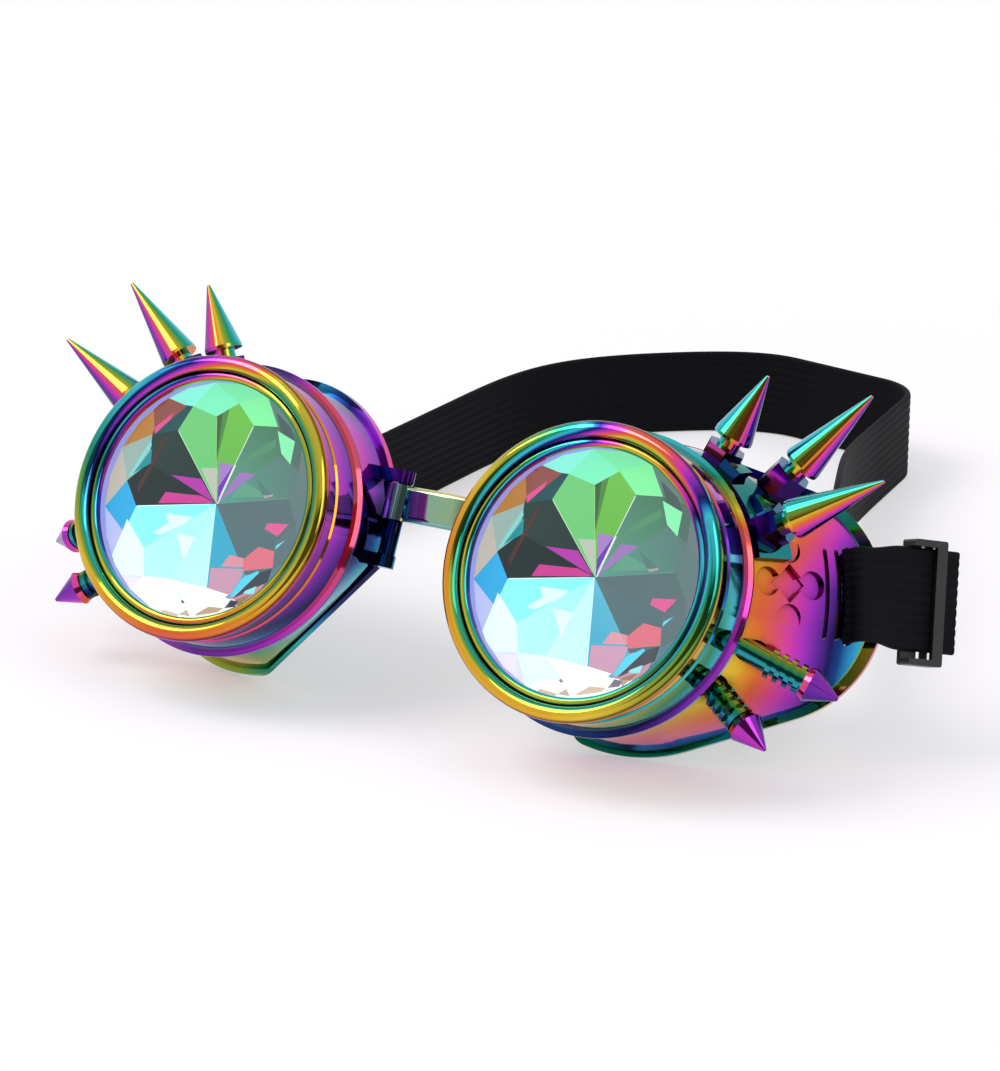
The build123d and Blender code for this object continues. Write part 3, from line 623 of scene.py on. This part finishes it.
def with_shared_corners(pieces):
    """The pieces with shared corners. Pieces that shrink to a line are left out."""
    corners = np.empty((0, 3))
    numbered = []
    for polygon, colours in pieces:
        numbers = []
        for point in polygon:
            near = np.flatnonzero(np.linalg.norm(corners - point, axis=1) < CORNER_REACH)
            if not len(near):
                corners = np.vstack([corners, point])
                near = [len(corners) - 1]
            numbers.append(int(near[0]))
        numbered.append((numbers, colours))
    whole = []
    for numbers, colours in numbered:
        outline = []
        for first, last in sides(numbers):
            if first == last:
                continue
            a, way = corners[first], corners[last] - corners[first]
            share = (corners - a) @ way / (way @ way)
            off = np.linalg.norm(corners - a - share[:, None] * way, axis=1)
            between = np.flatnonzero((off < CORNER_REACH) & (share > 0) & (share < 1))
            between = sorted(set(between) - {first, last}, key=lambda n: share[n])
            outline += [first] + between
        if len(outline) > 2:
            whole.append(([tuple(corners[n].tolist()) for n in outline], colours))
    return whole


pattern = with_shared_corners(loose_pattern)
print("pieces after closing the seams:", len(pattern))

# %% [markdown]
# ## Lens pieces
#
# Each lens is one closed mesh, with the disc's polished edge round front and back. The colours of
# the film are stored at its corners. The colour is partly emitted, a painted glow that lights the
# facets evenly.


# %% Lens pieces
def lens_piece(side):
    """Closed lens: the seen pattern in front, the true cut behind, the disc's edge round both."""
    right = 1 if side == "right" else -1
    built = bmesh.new()
    film_and_painted_light = built.loops.layers.float_color.new("film_and_painted_light")
    made = {}
    front = LENS_FRONT / MM + RIM_SLIP
    lip_inside, lip_outside = RIM_INSIDE / FACET_RADIUS, RIM_OUTSIDE / FACET_RADIUS

    def vertex(point, level):
        """A corner as seen (level 0), on the disc's edge (1 to 3, backwards) or as cut (4)."""
        x, z, depth = point
        if level == 0:
            depth = front + (depth - front) / GLASS_INDEX
        elif level < 3:
            depth = front
        widen = (1, lip_inside, lip_outside, lip_outside, 1)[level]
        key = (round(x, 3), round(z, 3), level)
        if key not in made:
            place = Vector((right * x * widen * MM, depth * MM, z * widen * MM))
            made[key] = built.verts.new(cups[side] @ place)
        return made[key]

    def face(vertices, colours):
        """Adds a face. Where thin parts of its outline have shrunk to a line, it is cut apart."""
        colour_of = dict(zip(vertices, colours))
        outlines, path = [], []
        for v in vertices:
            if v in path:
                outlines.append(path[path.index(v):])
                path = path[:path.index(v)]
            path.append(v)
        for outline in outlines + [path]:
            if len(outline) > 2 and not built.faces.get(outline):
                for loop in built.faces.new(outline).loops:
                    loop[film_and_painted_light] = colour_of[loop.vert]

    def on_rim(a, b):
        """Whether the line from a to b lies on the rim of the cut."""
        slack = CORNER_REACH / 2
        return min(a[2], b[2]) < EDGE + slack and abs(a[2] - b[2]) < slack

    for polygon, (inner, outer) in pattern:
        near, far = linear(inner), linear(outer)
        colours = []
        for p in polygon:
            t = min(1.0, math.hypot(p[0], p[1]) / FACET_RADIUS)
            colours.append([n + (f - n) * t for n, f in zip(near, far)])
        face([vertex(p, 0) for p in polygon], colours)
        face([vertex(p, 4) for p in reversed(polygon)], colours[::-1])
        for a, b in sides(polygon):
            if on_rim(a, b):
                for level in range(4):
                    face([vertex(a, level), vertex(a, level + 1), vertex(b, level + 1),
                          vertex(b, level)], [linear(RIM_EDGE)] * 4)
    bmesh.ops.recalc_face_normals(built, faces=built.faces)
    open_edges = sum(not e.is_manifold for e in built.edges)
    mesh = bpy.data.meshes.new(side + "_crystal_lens")
    built.to_mesh(mesh)
    built.free()
    piece = new_object(side + "_crystal_lens", mesh)
    print(piece.name, len(mesh.polygons), "faces,", open_edges, "open edges")
    return piece


# The emission is a painted glow in the colour of the film.
film_material, film_tree, film_shader = new_material("dichroic_glass_with_painted_glow", {
    "Emission Strength": 0.85, "Roughness": 0.12, "IOR": GLASS_INDEX})
film_and_painted_light_colour = add(film_tree, "ShaderNodeAttribute", attribute_name="film_and_painted_light").outputs["Color"]
connect(film_tree, film_shader, {"Base Color": product(film_tree, film_and_painted_light_colour, (0.2, 0.2, 0.2)),
                                 "Emission Color": film_and_painted_light_colour})

for side in SIDES:
    lens = lens_piece(side)
    lens.data.materials.append(film_material)
    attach(lens, side + "_lens_stack")
    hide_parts(side + "_lens")

# %% [markdown]
# ## Elastic strap
#
# One woven elastic band, 20 mm wide, with lengthwise ribs. It starts in a loop sewn round the bar
# of the left wing, goes round behind, standing on its edge, and comes back to the right wing.
# There it passes outwards through the slot and ends in a free tail with a slider on it. The
# script first works out stations along the band. Each one has a middle point, the way across the
# width and the width.

# %% Sizes of the strap, in millimetres and in the cup's frame
STRAP_WIDTH = 20.0
SQUEEZED_WIDTH = 18.4
STRAP_THICKNESS = 1.5
SLOT_ROW = Vector((27.674, 13.134, 4.799))
STRAP_ALONG = Vector((0.5259, 0.8372, 0.1500))
WING_OUT = Vector((0.8143, -0.5465, 0.1956))
STRAP_UP = Vector((-0.2457, -0.0193, 0.9691))
TAIL_UP = Vector((-0.1446, -0.0858, 0.9857))
SLOT_ALONG = 24.0075
INNER_LAYER = 5.4068
OUTER_LAYER = 2.8138
TURN_RADIUS = 1.3
FOLD_END = SLOT_ALONG + 2 * TURN_RADIUS
TAIL_LENGTH = 19.9
TAIL_TWIST = 6.8
TAIL_STATIONS = 40
TAIL_STEP = 0.5
RIM_END = 35.63
SEWN_LENGTH = 9.0
SWING = math.radians(60)
PAST_SLOT = 5.0
CUP_SPACING = 86.0
LOOP_REACH = 220.0
CORNER_RADIUS = 14.0
BACK_STEPS = 48
RUN_STEPS = 60
MEETING = 40  # the station of the back where the two halves of the band meet
UPRIGHT = Vector((0, 0, 1))
strap_middle = cad_box[0][2] / MM + STRAP_WIDTH / 2


def on_wing(along, inwards):
    """Point beside the wing, in the cup's frame."""
    return SLOT_ROW + STRAP_ALONG * along - WING_OUT * inwards


def row_point(point, side):
    """A point of a cup's frame as a point of the row frame, both in mm."""
    return (cups[side] @ (point * MM)) / MM


def row_way(direction, side):
    """A direction of a cup's frame as a direction of the row frame."""
    return cups[side].to_3x3() @ direction


def on_table(x_share, y_share):
    """A middle point of the strap where it stands on its edge."""
    return Vector((x_share * CUP_SPACING + lens_row.x / MM, y_share * LOOP_REACH + lens_row.y / MM,
                   strap_middle))


def eased(share):
    """A share from 0 to 1 that starts and ends gently."""
    return share * share * (3 - 2 * share)


def spline(points, first, last, steps):
    """Smooth curve through points with given end directions, evenly spaced in its parameter."""
    points = np.array(points, float)
    spans = np.linalg.norm(np.diff(points, axis=0), axis=1)
    knots = np.concatenate(([0.0], np.cumsum(spans)))
    count = len(points)
    system, right = np.zeros((count, count)), np.zeros((count, 3))
    system[0, 0] = system[-1, -1] = 1
    right[0], right[-1] = first, last
    for i in range(1, count - 1):
        before, after = spans[i - 1], spans[i]
        system[i, i - 1:i + 2] = after, 2 * (before + after), before
        right[i] = 3 * (after * (points[i] - points[i - 1]) / before
                        + before * (points[i + 1] - points[i]) / after)
    slopes = np.linalg.solve(system, right)
    curve = []
    for value in np.linspace(0, knots[-1], steps + 1):
        i = min(int(np.searchsorted(knots, value, side="right")) - 1, count - 2)
        t = (value - knots[i]) / spans[i]
        curve.append(points[i] * (2 * t ** 3 - 3 * t ** 2 + 1)
                     + points[i + 1] * (3 * t ** 2 - 2 * t ** 3)
                     + (slopes[i] * (t ** 3 - 2 * t ** 2 + t)
                        + slopes[i + 1] * (t ** 3 - t ** 2)) * spans[i])
    return [Vector(p.tolist()) for p in curve]


def rounded(points, radius, steps=8):
    """A path of straight lines with its inner corners rounded."""
    path = [points[0]]
    for before, corner, after in zip(points, points[1:], points[2:]):
        back, on = (before - corner).normalized(), (after - corner).normalized()
        half = back.angle(on) / 2
        reach = radius / math.tan(half)
        centre = corner + (back + on).normalized() * radius / math.sin(half)
        start, end = corner + back * reach - centre, corner + on * reach - centre
        path += [centre + start.slerp(end, k / steps).normalized() * radius
                 for k in range(steps + 1)]
    return path + [points[-1]]


print("middle of the standing strap above the origin, mm:", round(strap_middle, 2))

# %% [markdown]
# ## The back of the strap
#
# Behind the goggles the strap stands on the table. Its route was read off the photo as points
# whose places are shares of the lens spacing (sideways) and of the strap's reach (back).

# %% The back of the strap
shares = [(-0.826, 0.536), (-0.821, 0.682), (-0.762, 0.845), (-0.523, 0.952), (-0.205, 1.000),
          (0.198, 0.968), (0.238, 0.838)]
route = [on_table(*pair) for pair in shares]
back_first, back_turn, back_last = ((route[i + 1] - route[i]).normalized() for i in (0, 4, 5))
back_points = (spline(route[:5], back_first, back_turn, BACK_STEPS)[:-1]
               + rounded(route[4:], CORNER_RADIUS, 16))
on_edge = [(p, UPRIGHT, STRAP_WIDTH) for p in back_points]
print("stations on the table:", len(back_points))

# %% [markdown]
# ## The free runs, the tail and the sewn loop
#
# From each cup the band runs free and turns upright as it goes. The slots are shorter than the
# band is wide, so they squeeze it. On the right it folds round the end of the slot into the tail,
# and on the left it is sewn to itself.


# %% The free runs, the tail and the sewn loop
def run_stations(start, turn, across, shares, end, end_turn):
    """The free strap between a cup and the part that stands on its edge."""
    between = on_table(*shares[:2])
    between.z += (start.z - strap_middle) * shares[2]
    path = spline([start, between, end], turn, end_turn, RUN_STEPS)
    stations = []
    for k, point in enumerate(path):
        share = k / RUN_STEPS
        forward = (path[min(k + 1, RUN_STEPS)] - path[max(k - 1, 0)]).normalized()
        way = across * (1 - eased(share)) + UPRIGHT * eased(share)
        way = (way - forward * way.dot(forward)).normalized()
        width = SQUEEZED_WIDTH + (STRAP_WIDTH - SQUEEZED_WIDTH) * min(1, share * 5)
        stations.append((point, way, width))
    return stations


def wing_stations(path, side):
    """Stations of a rounded path given as (along, inwards) pairs."""
    return [(row_point(on_wing(*p), side), row_way(STRAP_UP, side), SQUEEZED_WIDTH) for p in path]


tail = []
for k in range(TAIL_STATIONS):
    past = TAIL_LENGTH - TAIL_STEP * k
    share = eased(min(1.0, past / TAIL_TWIST))
    tail.append((row_point(on_wing(FOLD_END + past, -OUTER_LAYER), "right"),
                 row_way(STRAP_UP.lerp(TAIL_UP, share).normalized(), "right"),
                 SQUEEZED_WIDTH + (STRAP_WIDTH - SQUEEZED_WIDTH) * share))
swung = Vector((math.cos(SWING), math.sin(SWING)))
inner_corner = Vector((SLOT_ALONG, INNER_LAYER))
inner_end = inner_corner + swung * PAST_SLOT
outer_corner, outer_end = Vector((SLOT_ALONG, -OUTER_LAYER)), Vector((FOLD_END, -OUTER_LAYER))
fold = rounded([outer_end, outer_corner, inner_corner, inner_end], TURN_RADIUS)
right_start = row_point(on_wing(*inner_end), "right")
right_turn = row_way(STRAP_ALONG * swung.x - WING_OUT * swung.y, "right")
right_run = run_stations(right_start, right_turn, row_way(STRAP_UP, "right"),
                         (0.523, 0.500, 0.50), back_points[-1], -back_last)
right_route = tail + wing_stations(fold[:-1], "right") + right_run + on_edge[MEETING:-1][::-1]

joined = RIM_END + OUTER_LAYER + INNER_LAYER
sewn_end = joined + SEWN_LENGTH
beside = INNER_LAYER - STRAP_THICKNESS
loop = rounded([Vector(p) for p in ((sewn_end, beside), (joined, beside), (RIM_END, -OUTER_LAYER),
                                    (SLOT_ALONG, -OUTER_LAYER), (SLOT_ALONG, INNER_LAYER),
                                    (sewn_end, INNER_LAYER))], TURN_RADIUS)
left_start = row_point(on_wing(sewn_end, INNER_LAYER), "left")
left_run = run_stations(left_start, row_way(STRAP_ALONG, "left"), row_way(STRAP_UP, "left"),
                        (-0.930, 0.380, 0.60), back_points[0], back_first)
left_route = wing_stations(loop[:-1], "left") + left_run + on_edge[1:MEETING + 1]
band_length = sum((b[0] - a[0]).length for line in (right_route, left_route)
                  for a, b in zip(line, line[1:]))
print("stations, right and left:", len(right_route), len(left_route))
print("length of the band, mm:", round(band_length))

# %% [markdown]
# ## A band from a Geometry Nodes tree
#
# The band itself is made by a small Geometry Nodes tree. It sweeps a profile along the stations
# and turns the profile by the stored direction across. The profile is a closed loop of points. A
# formula gives each one its place: the edges are rounded like a superellipse, and the ribs are a
# wave across the width, because the rubber cores of the elastic lie side by side and pull the
# weave up between them. The tree stores the places along and across the band, so that the weave
# can follow them.


# %% Strap node tree
def group_tree(name, sockets):
    """A geometry node group with its geometry sockets and named inputs."""
    tree = bpy.data.node_groups.new(name, "GeometryNodeTree")
    for way in ("INPUT", "OUTPUT"):
        tree.interface.new_socket("Geometry", in_out=way, socket_type="NodeSocketGeometry")
    for label, kind in sockets:
        tree.interface.new_socket(label, in_out="INPUT", socket_type="NodeSocket" + kind)
    return tree, add(tree, "NodeGroupInput").outputs


def evaluated_copy(piece, tree, values, name):
    """Runs the tree on a piece with its inputs set and returns the result as a mesh object."""
    modifier = piece.modifiers.new("nodes", "NODES")
    modifier.node_group = tree
    for item in tree.interface.items_tree:
        if item.in_out == "INPUT" and item.name in values:
            modifier[item.identifier] = values[item.name]
    depsgraph = bpy.context.evaluated_depsgraph_get()
    mesh = bpy.data.meshes.new_from_object(piece.evaluated_get(depsgraph))
    mesh.name = name
    bpy.data.objects.remove(piece)
    return new_object(name, mesh)


EDGE_POWER = 40.0  # higher makes the edges of the band squarer
GROOVE_POWER = 4.0  # higher makes the grooves between the ribs narrower
band_tree, band_in = group_tree("elastic_band", [
    ("Width", "Float"), ("Thickness", "Float"), ("Ribs", "Int"), ("Rib Depth", "Float"),
    ("Hem Share", "Float"), ("Points", "Int"), ("Material", "Material")])
value = partial(calc, band_tree)


def node(kind, inputs=None, output=0, **settings):
    """Adds a node to the band's tree and returns one of its outputs."""
    return add(band_tree, kind, inputs, **settings).outputs[output]


line = node("GeometryNodeMeshToCurve", {"Mesh": band_in["Geometry"]})
across_way = node("GeometryNodeInputNamedAttribute", {"Name": "across"}, data_type="FLOAT_VECTOR")
line = node("GeometryNodeSetCurveNormal", {"Curve": line, "Normal": across_way}, mode="FREE")
length = node("GeometryNodeSplineParameter", output="Length")
line = node("GeometryNodeStoreNamedAttribute", {"Geometry": line, "Name": "along", "Value": length})
ring = node("GeometryNodeCurvePrimitiveCircle", {"Resolution": band_in["Points"]})
turn = value("DIVIDE", node("GeometryNodeInputIndex"), band_in["Points"])
share = value("ABSOLUTE", value("MULTIPLY_ADD", turn, 2.0, -1.0))
share = value("SUBTRACT", 0.5, share)
face_sign = value("SIGN", value("SUBTRACT", turn, 0.5))
round_end = value("ABSOLUTE", value("MULTIPLY", share, 2.0))
round_end = value("SQRT", value("SUBTRACT", 1.0, value("POWER", round_end, EDGE_POWER)))
rib_span = value("MULTIPLY_ADD", band_in["Hem Share"], -2.0, 1.0)
rib_turn = value("MULTIPLY", value("DIVIDE", share, rib_span), band_in["Ribs"])
rib_turn = value("DIVIDE", rib_turn, 1 / math.pi)
groove = value("POWER", value("ABSOLUTE", value("SINE", rib_turn)), GROOVE_POWER)
in_ribs = value("LESS_THAN", value("ABSOLUTE", share), value("MULTIPLY", rib_span, 0.5))
groove = value("MULTIPLY", value("MULTIPLY", groove, in_ribs), band_in["Rib Depth"])
half = value("SUBTRACT", value("MULTIPLY", band_in["Thickness"], 0.5), groove)
half = value("MULTIPLY", value("MULTIPLY", half, round_end), face_sign)
sideways = value("MULTIPLY", share, band_in["Width"])
place = node("ShaderNodeCombineXYZ", {"X": sideways, "Y": half})
profile = node("GeometryNodeStoreNamedAttribute",
               {"Geometry": ring, "Name": "share", "Value": share})
profile = node("GeometryNodeSetPosition", {"Geometry": profile, "Position": place})
relative = node("GeometryNodeInputNamedAttribute", {"Name": "width"}, data_type="FLOAT")
band = node("GeometryNodeCurveToMesh", {"Curve": line, "Profile Curve": profile,
                                        "Scale": relative, "Fill Caps": True})
band = node("GeometryNodeSetShadeSmooth", {"Geometry": band})
band = node("GeometryNodeRealizeInstances", {"Geometry": band})
band = node("GeometryNodeSetMaterial", {"Geometry": band, "Material": band_in["Material"]})
add(band_tree, "NodeGroupOutput", {"Geometry": band})
print("strap node tree:", len(band_tree.nodes), "nodes")

# %% [markdown]
# ## Elastic material
#
# The threads are black and dull; their crossing crowns are drawn lighter, a painted highlight.

# %% Elastic material
THREAD_STEP = 0.9  # mm
elastic, elastic_tree, elastic_shader = new_material("woven_elastic_black", {
    "Roughness": 0.7, "Specular IOR Level": 0.12, "Sheen Weight": 0.02, "Sheen Roughness": 0.4,
    "Sheen Tint": linear("5d6b85")})
along, across = (add(elastic_tree, "ShaderNodeAttribute", attribute_name=name).outputs["Fac"]
                 for name in ("along", "share"))
value = partial(calc, elastic_tree)
weave = value("SINE", value("MULTIPLY", along, math.tau / (THREAD_STEP * MM)))
threads = value("SINE", value("MULTIPLY", across, math.tau * STRAP_WIDTH / THREAD_STEP))
crown = value("MULTIPLY_ADD", value("MULTIPLY", weave, threads), 0.5, 0.5)
# Painted highlight: the crowns of the weave are a little lighter than the black threads.
yarn_and_sheen = ramp(elastic_tree, crown, [(0.0, "010204"), (0.6, "030408"), (1.0, "080a10")])
bump = add(elastic_tree, "ShaderNodeBump", {"Height": crown, "Strength": 0.35,
                                            "Distance": 0.1 * MM}).outputs[0]
connect(elastic_tree, elastic_shader, {"Base Color": yarn_and_sheen, "Normal": bump})
print("materials so far:", len(bpy.data.materials))

# %% [markdown]
# ## Strap pieces
#
# Each half of the band becomes one mesh.


# %% Strap pieces
def band_of(name, stations):
    """The band as a plain mesh, made by the node tree from its stations."""
    line = bpy.data.meshes.new(name + "_line")
    line.from_pydata([tuple(s[0] * MM) for s in stations],
                     [(i, i + 1) for i in range(len(stations) - 1)], [])
    for label, kind, field, values in (
            ("across", "FLOAT_VECTOR", "vector", [v for s in stations for v in s[1]]),
            ("width", "FLOAT", "value", [s[2] / STRAP_WIDTH for s in stations])):
        line.attributes.new(label, kind, "POINT").data.foreach_set(field, values)
    return evaluated_copy(new_object(name + "_line", line), band_tree, {
        "Width": STRAP_WIDTH * MM, "Thickness": STRAP_THICKNESS * MM, "Ribs": 9,
        "Rib Depth": 0.22 * MM, "Hem Share": 0.07, "Points": 200, "Material": elastic}, name)


for side, stations, run_start, run_end, end in (
        ("right", right_route, right_start, back_points[-1], "_strap_tail"),
        ("left", left_route, left_start, back_points[0], "_strap_loop")):
    piece = band_of("strap_" + side + "_half", stations)
    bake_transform(piece)
    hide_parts(side + end, side + "_strap_run", "back_strap")
    print(piece.name, len(piece.data.polygons), "faces")

# %% [markdown]
# ## Slider and gaskets
#
# The slider has a satin surface. The rubber gaskets sit out of sight between lens and barrel.

# %% Slider and gaskets
dress("slider", new_material("satin_moulded_black_abs",
                             {"Base Color": linear("0a0c10"), "Roughness": 0.35})[0])
rubber = new_material("black_gasket_rubber", {"Base Color": linear("101010"), "Roughness": 0.8})[0]
for side in SIDES:
    dress(side + "_lens_gasket", rubber)
print("materials:", len(bpy.data.materials))

# %% [markdown]
# ## Studio
#
# The photograph was taken on a white sweep. Here the floor is a pale plane that fades into a
# white background, and the light comes from large soft lamps. Away from the goggles the sweep is
# so brightly lit that it can't be told from the background.

# %% Floor
FLOOR_REACH = 3.0
FLOOR_GAP = 0.0001
FADE_FROM, FADE_TO = 0.13, 0.26
floor_mesh = bpy.data.meshes.new("studio_floor")
floor_mesh.from_pydata([(x * FLOOR_REACH, y * FLOOR_REACH, 0) for x, y in
                        ((-1, -1), (1, -1), (1, 1), (-1, 1))], [], [(0, 1, 2, 3)])
floor = new_object("studio_floor", floor_mesh)
floor.location.z = cad_box[0][2] - FLOOR_GAP
floor_paint, floor_tree, floor_shader = new_material(
    "matte_white_sweep", {"Base Color": linear("f6f2f9"), "Roughness": 0.9})
spot = add(floor_tree, "ShaderNodeTexCoord").outputs["Object"]
distance = add(floor_tree, "ShaderNodeVectorMath", {0: spot}, operation="LENGTH").outputs["Value"]
fade = add(floor_tree, "ShaderNodeMapRange",
           {"Value": distance, "From Min": FADE_FROM, "From Max": FADE_TO, "To Min": 0.4},
           interpolation_type="SMOOTHSTEP").outputs[0]
bright = add(floor_tree, "ShaderNodeEmission", {"Color": (1, 1, 1, 1), "Strength": 1.0})
mixed = add(floor_tree, "ShaderNodeMixShader",
            {0: fade, 1: floor_shader.outputs[0], 2: bright.outputs[0]})
output = next(n for n in floor_tree.nodes if n.type == "OUTPUT_MATERIAL")
connect(floor_tree, output, {"Surface": mixed.outputs[0]})
floor.data.materials.append(floor_paint)
print("floor, mm below the goggles:", FLOOR_GAP / MM)

# %% [markdown]
# ## World and lamps
#
# The white sweep fills the picture behind the goggles. In a mirror-like surface the room counts
# as much as the lamps: the dark area round the camera gives the plating its deep, contrasting
# bands. Only mirrored rays see that room. The camera and rays through the glass see plain white.

# %% World and lamps
ROOM_LEVEL = 0.75
world = bpy.data.worlds.new("white_studio")
bpy.context.scene.world = world
world.use_nodes = True
world_tree = world.node_tree
world_tree.nodes.clear()
value = partial(calc, world_tree)
direction = add(world_tree, "ShaderNodeTexCoord").outputs["Generated"]
height = dot(world_tree, direction, UPRIGHT)
toward = dot(world_tree, direction, towards_camera)
sideways = dot(world_tree, direction, UPRIGHT.cross(towards_camera).normalized())
room = ramp(world_tree, value("MULTIPLY_ADD", toward, 0.5, 0.5),
            [(0.0, 1.0), (0.55, 0.95), (0.72, 0.28), (1.0, 0.1)])
ceiling = ramp(world_tree, height, [(0.0, 0.0), (0.5, 0.0), (0.62, 1.0), (1.0, 1.0)])
strip = ramp(world_tree, value("MULTIPLY_ADD", sideways, 0.5, 0.5),
             [(0.0, 1.0), (0.16, 0.9), (0.24, 0.0), (0.78, 0.0), (0.86, 0.9), (1.0, 1.0)])
mirrored = value("MAXIMUM", value("MAXIMUM", room, ceiling), strip)
rays = add(world_tree, "ShaderNodeLightPath").outputs
plain = value("MAXIMUM", rays["Is Camera Ray"], rays["Is Transmission Ray"])
level = value("MULTIPLY_ADD", rays["Is Glossy Ray"], value("SUBTRACT", mirrored, ROOM_LEVEL),
               ROOM_LEVEL)
level = value("MAXIMUM", level, plain)
background = add(world_tree, "ShaderNodeBackground", {"Color": (1, 1, 1, 1), "Strength": level})
add(world_tree, "ShaderNodeOutputWorld", {"Surface": background.outputs[0]})


def softbox(name, place, size, power):
    """A rectangular lamp that looks at the middle of the lens row."""
    data = bpy.data.lights.new(name, "AREA")
    data.shape = "RECTANGLE"
    data.size, data.size_y = size
    data.energy = power
    light = new_object(name, data)
    light.location = place
    light.rotation_euler = (Vector(place) - lens_row).to_track_quat("Z", "Y").to_euler()


softbox("key_softbox", (-0.5, -0.5, 0.9), (0.6, 0.6), 6.0)
softbox("fill_softbox", (0.9, -0.4, 0.6), (0.5, 0.8), 3.0)
bpy.context.scene.view_settings.view_transform = "Standard"
print("world nodes:", len(world_tree.nodes), "lamps:", len(bpy.data.lights))

# %% [markdown]
# ## Sizes and finish
#
# The last step prints the size of the box of the CAD model.

# %% Sizes and finish
print("CAD size, mm:", [round((high - low) / MM, 1) for low, high in zip(*cad_box)])
